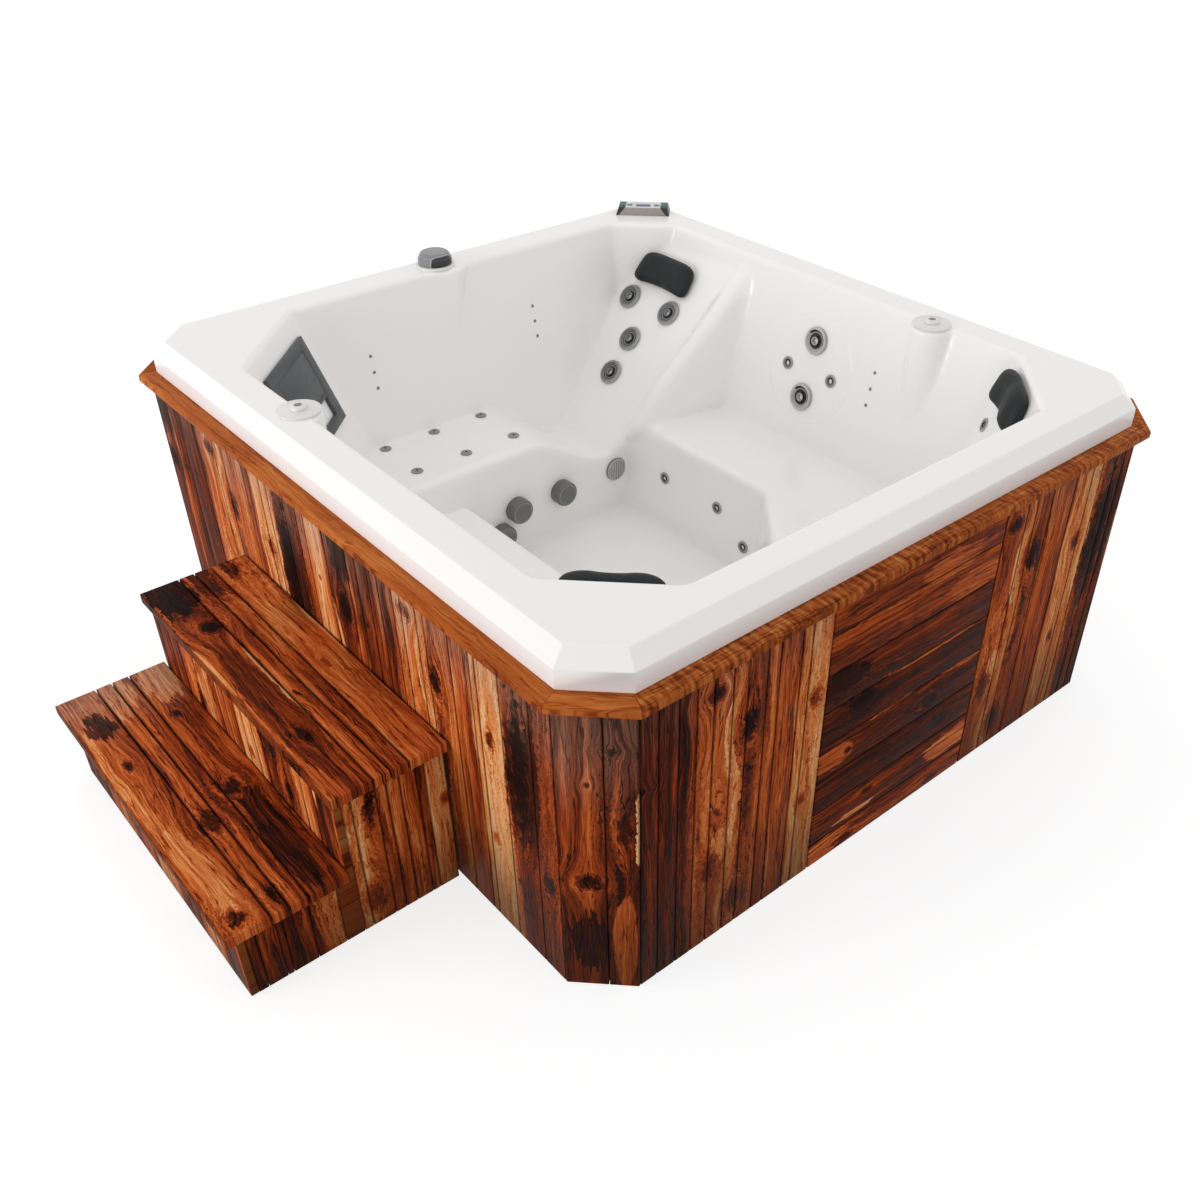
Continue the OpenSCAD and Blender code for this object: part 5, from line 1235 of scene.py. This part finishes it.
def slope_console(ob):
    """Leans the upper half of the console's front back, as moulded."""
    x, y, z, facing, _ = SITES["topside_housing"][0]
    f = radians(facing)
    back = Vector((-sin(f), cos(f), 0))
    with editing(ob):
        bpy.ops.mesh.bisect(plane_co=(x, y, z + 0.01), plane_no=(0, 0, 1))
    for vertex in ob.data.vertices:
        away = vertex.co - Vector((x, y, z))
        if away.dot(back) < -0.0345 and away.z > 0.011:
            vertex.co += back * 0.012 * (away.z - 0.01) / 0.014


# CAD solids, piece, slot, finish, easing of the edges
DRESSED = [
    ("skimmer_plate", "skimmer_front", "skimmer_plastic", SKIMMER_GREY, 0.003),
    ("weir_flap", "skimmer_weir", "skimmer_plastic", SKIMMER_GREY, 0.0008),
    ("diverter_ring", "diverter_collar", "white_plastic", WHITE, 0.0014),
    ("diverter_cap", "diverter_dome", "grey_plastic", CAP_GREY, 0.002),
    ("air_valve_discs", "air_valve_faces", "white_plastic", WHITE, 0.0012),
    ("air_knob_steps_side", "air_knob_near", "grey_plastic", KNOB, 0.0008),
    ("air_knob_far_side", "air_knob_far", "grey_plastic", KNOB, 0.0008),
    ("topside_housing", "control_console", "console_plastic", CONSOLE, 0.001),
    ("topside_screen", "control_screen", "screen", SCREEN, 0.0004),
    *((f"button_{i}", f"key_cap_{i}", "key_rubber", KEY_TEAL, 0.0006) for i in range(1, 5)),
    ("small_jets", "small_jet_faces", "jet_grey", JET_SMALL, 0.0006),
    ("air_injectors", "air_injector_caps", "grey_plastic", INJECTOR, 0.0006),
    ("light_points", "light_point_caps", "grey_plastic", JET_GREY, 0.0004),
    ("suction_covers", "suction_strainers", "grey_plastic", SUCTION_GREY, 0.001),
    ("light_lens", "lamp_lens", "lens", LENS, 0.001),
    *((f"jet_bezel_{at}", f"bezel_{at}_face", "jet_grey", JET_DARK, 0.0006)
      for at in ("back_left", "back_right", "back_middle", "back_low")),
    *((f"jet_bezel_{at}", f"bezel_{at}_face", "jet_grey", JET_LIGHT, 0.0006)
      for at in ("wall_high", "wall_low")),
]
# CAD solids that stay in view
PAINTED = [
    (PAN_BLACK, "base_pan"), (PINE_FLAT, "frame_rails footwell_bearers"),
    (PINE_UP, "frame_posts access_battens"), (STAINED, "step_frame"),
    (BLACK, "large_jet_bodies pump_housing pump_foot blower_housing"),
    (MOTOR, "pump_motor control_box"), (STEEL, "pump_rotor heater_tube"), (PALE_GREY, "blower_fan"),
    (MEDIA, "filter_cartridge"),
    (BODY_WHITE, "suction_bodies light_housing skimmer_canister diverter_body air_valve_bodies water_pipes "
                 "drain_valve"),
]


# Pillows

PILLOW_VOXEL = 0.005
CLOTH_FRAMES = 20
SWELL = 0.0035


def swell(ob):
    """Blows the foam up by a short cloth run, by no more than SWELL."""
    start = vertex_array(ob)
    pick(ob)
    cloth = ob.modifiers.new("cloth", "CLOTH")
    cloth.settings.use_pressure = True
    cloth.settings.uniform_pressure_force = 4
    cloth.settings.effector_weights.gravity = 0
    cloth.point_cache.frame_start, cloth.point_cache.frame_end = 1, CLOTH_FRAMES
    for frame_number in range(1, CLOTH_FRAMES + 1):
        scene.frame_set(frame_number)
    bpy.ops.object.modifier_apply(modifier=cloth.name)
    scene.frame_set(1)
    moved = vertex_array(ob) - start
    far = np.linalg.norm(moved, axis=1, keepdims=True)
    move_points(ob, start + moved * np.minimum(1, SWELL / np.maximum(far, 1e-9)))


def pillow(source, name, growth):
    """A foam pillow from its CAD form, with rounded edges and a crown."""
    ob = fair_copy(source, name, 0)
    modify(ob, "REMESH", mode="VOXEL", voxel_size=PILLOW_VOXEL, adaptivity=0)
    soften(ob, 4)
    swell(ob)
    if growth:
        place = vertex_array(ob)
        middle = place.mean(axis=0)
        move_points(ob, middle + (place - middle) * np.array(growth))
    modify(ob, "SUBSURF", levels=1, render_levels=1)
    pick(ob)
    bpy.ops.object.shade_smooth()
    take_place(ob, source, PILLOW_SKIN)


# Floor


def floor():
    """A grey floor that glows just enough to look white, and keeps the object's shadow."""
    ob = form("studio_floor", bpy.ops.mesh.primitive_plane_add, size=60, location=(0, 0, 0))
    made, g, body = finish("floor_finish", Roughness=0.9, Specular_IOR_Level=0.1)
    seen = g.seen()
    tone = g.between(seen, 0.0, 1.0, FLOOR_SHADED, FLOOR_SEEN, smooth=False)
    g.feed(body.inputs["Base Color"], g.join(tone, tone, tone))
    glow = g.add("Emission", {"Color": (1, 1, 1, 1), "Strength": g.mul(seen, FLOOR_GLOW)})
    both = g.add("AddShader", {0: body.outputs[0], 1: glow.outputs[0]})
    g.feed(made.node_tree.nodes["Material Output"].inputs["Surface"], both.outputs[0])
    ob.data.materials.append(made)
    settle(ob)


# Everything in its place

place_camera()
studio()
floor()
take_place(shell(), "acrylic_shell", ACRYLIC)
clad_cabinet()
for source, name, slot, look, soft in DRESSED:
    piece = fair_copy(source, name, soft)
    if source == "topside_housing":
        slope_console(piece)
    if source in SITES:
        lay_local(piece, SITES[source])
    take_place(piece, source, look)
for look, sources in PAINTED:
    for source in sources.split():
        paint(source, look)
pillow("pillow_head", "pillow_at_head", (1.07, 1.0, 1.06))
pillow("pillow_right", "pillow_at_right", None)
pillow("pillow_front", "pillow_at_front", None)
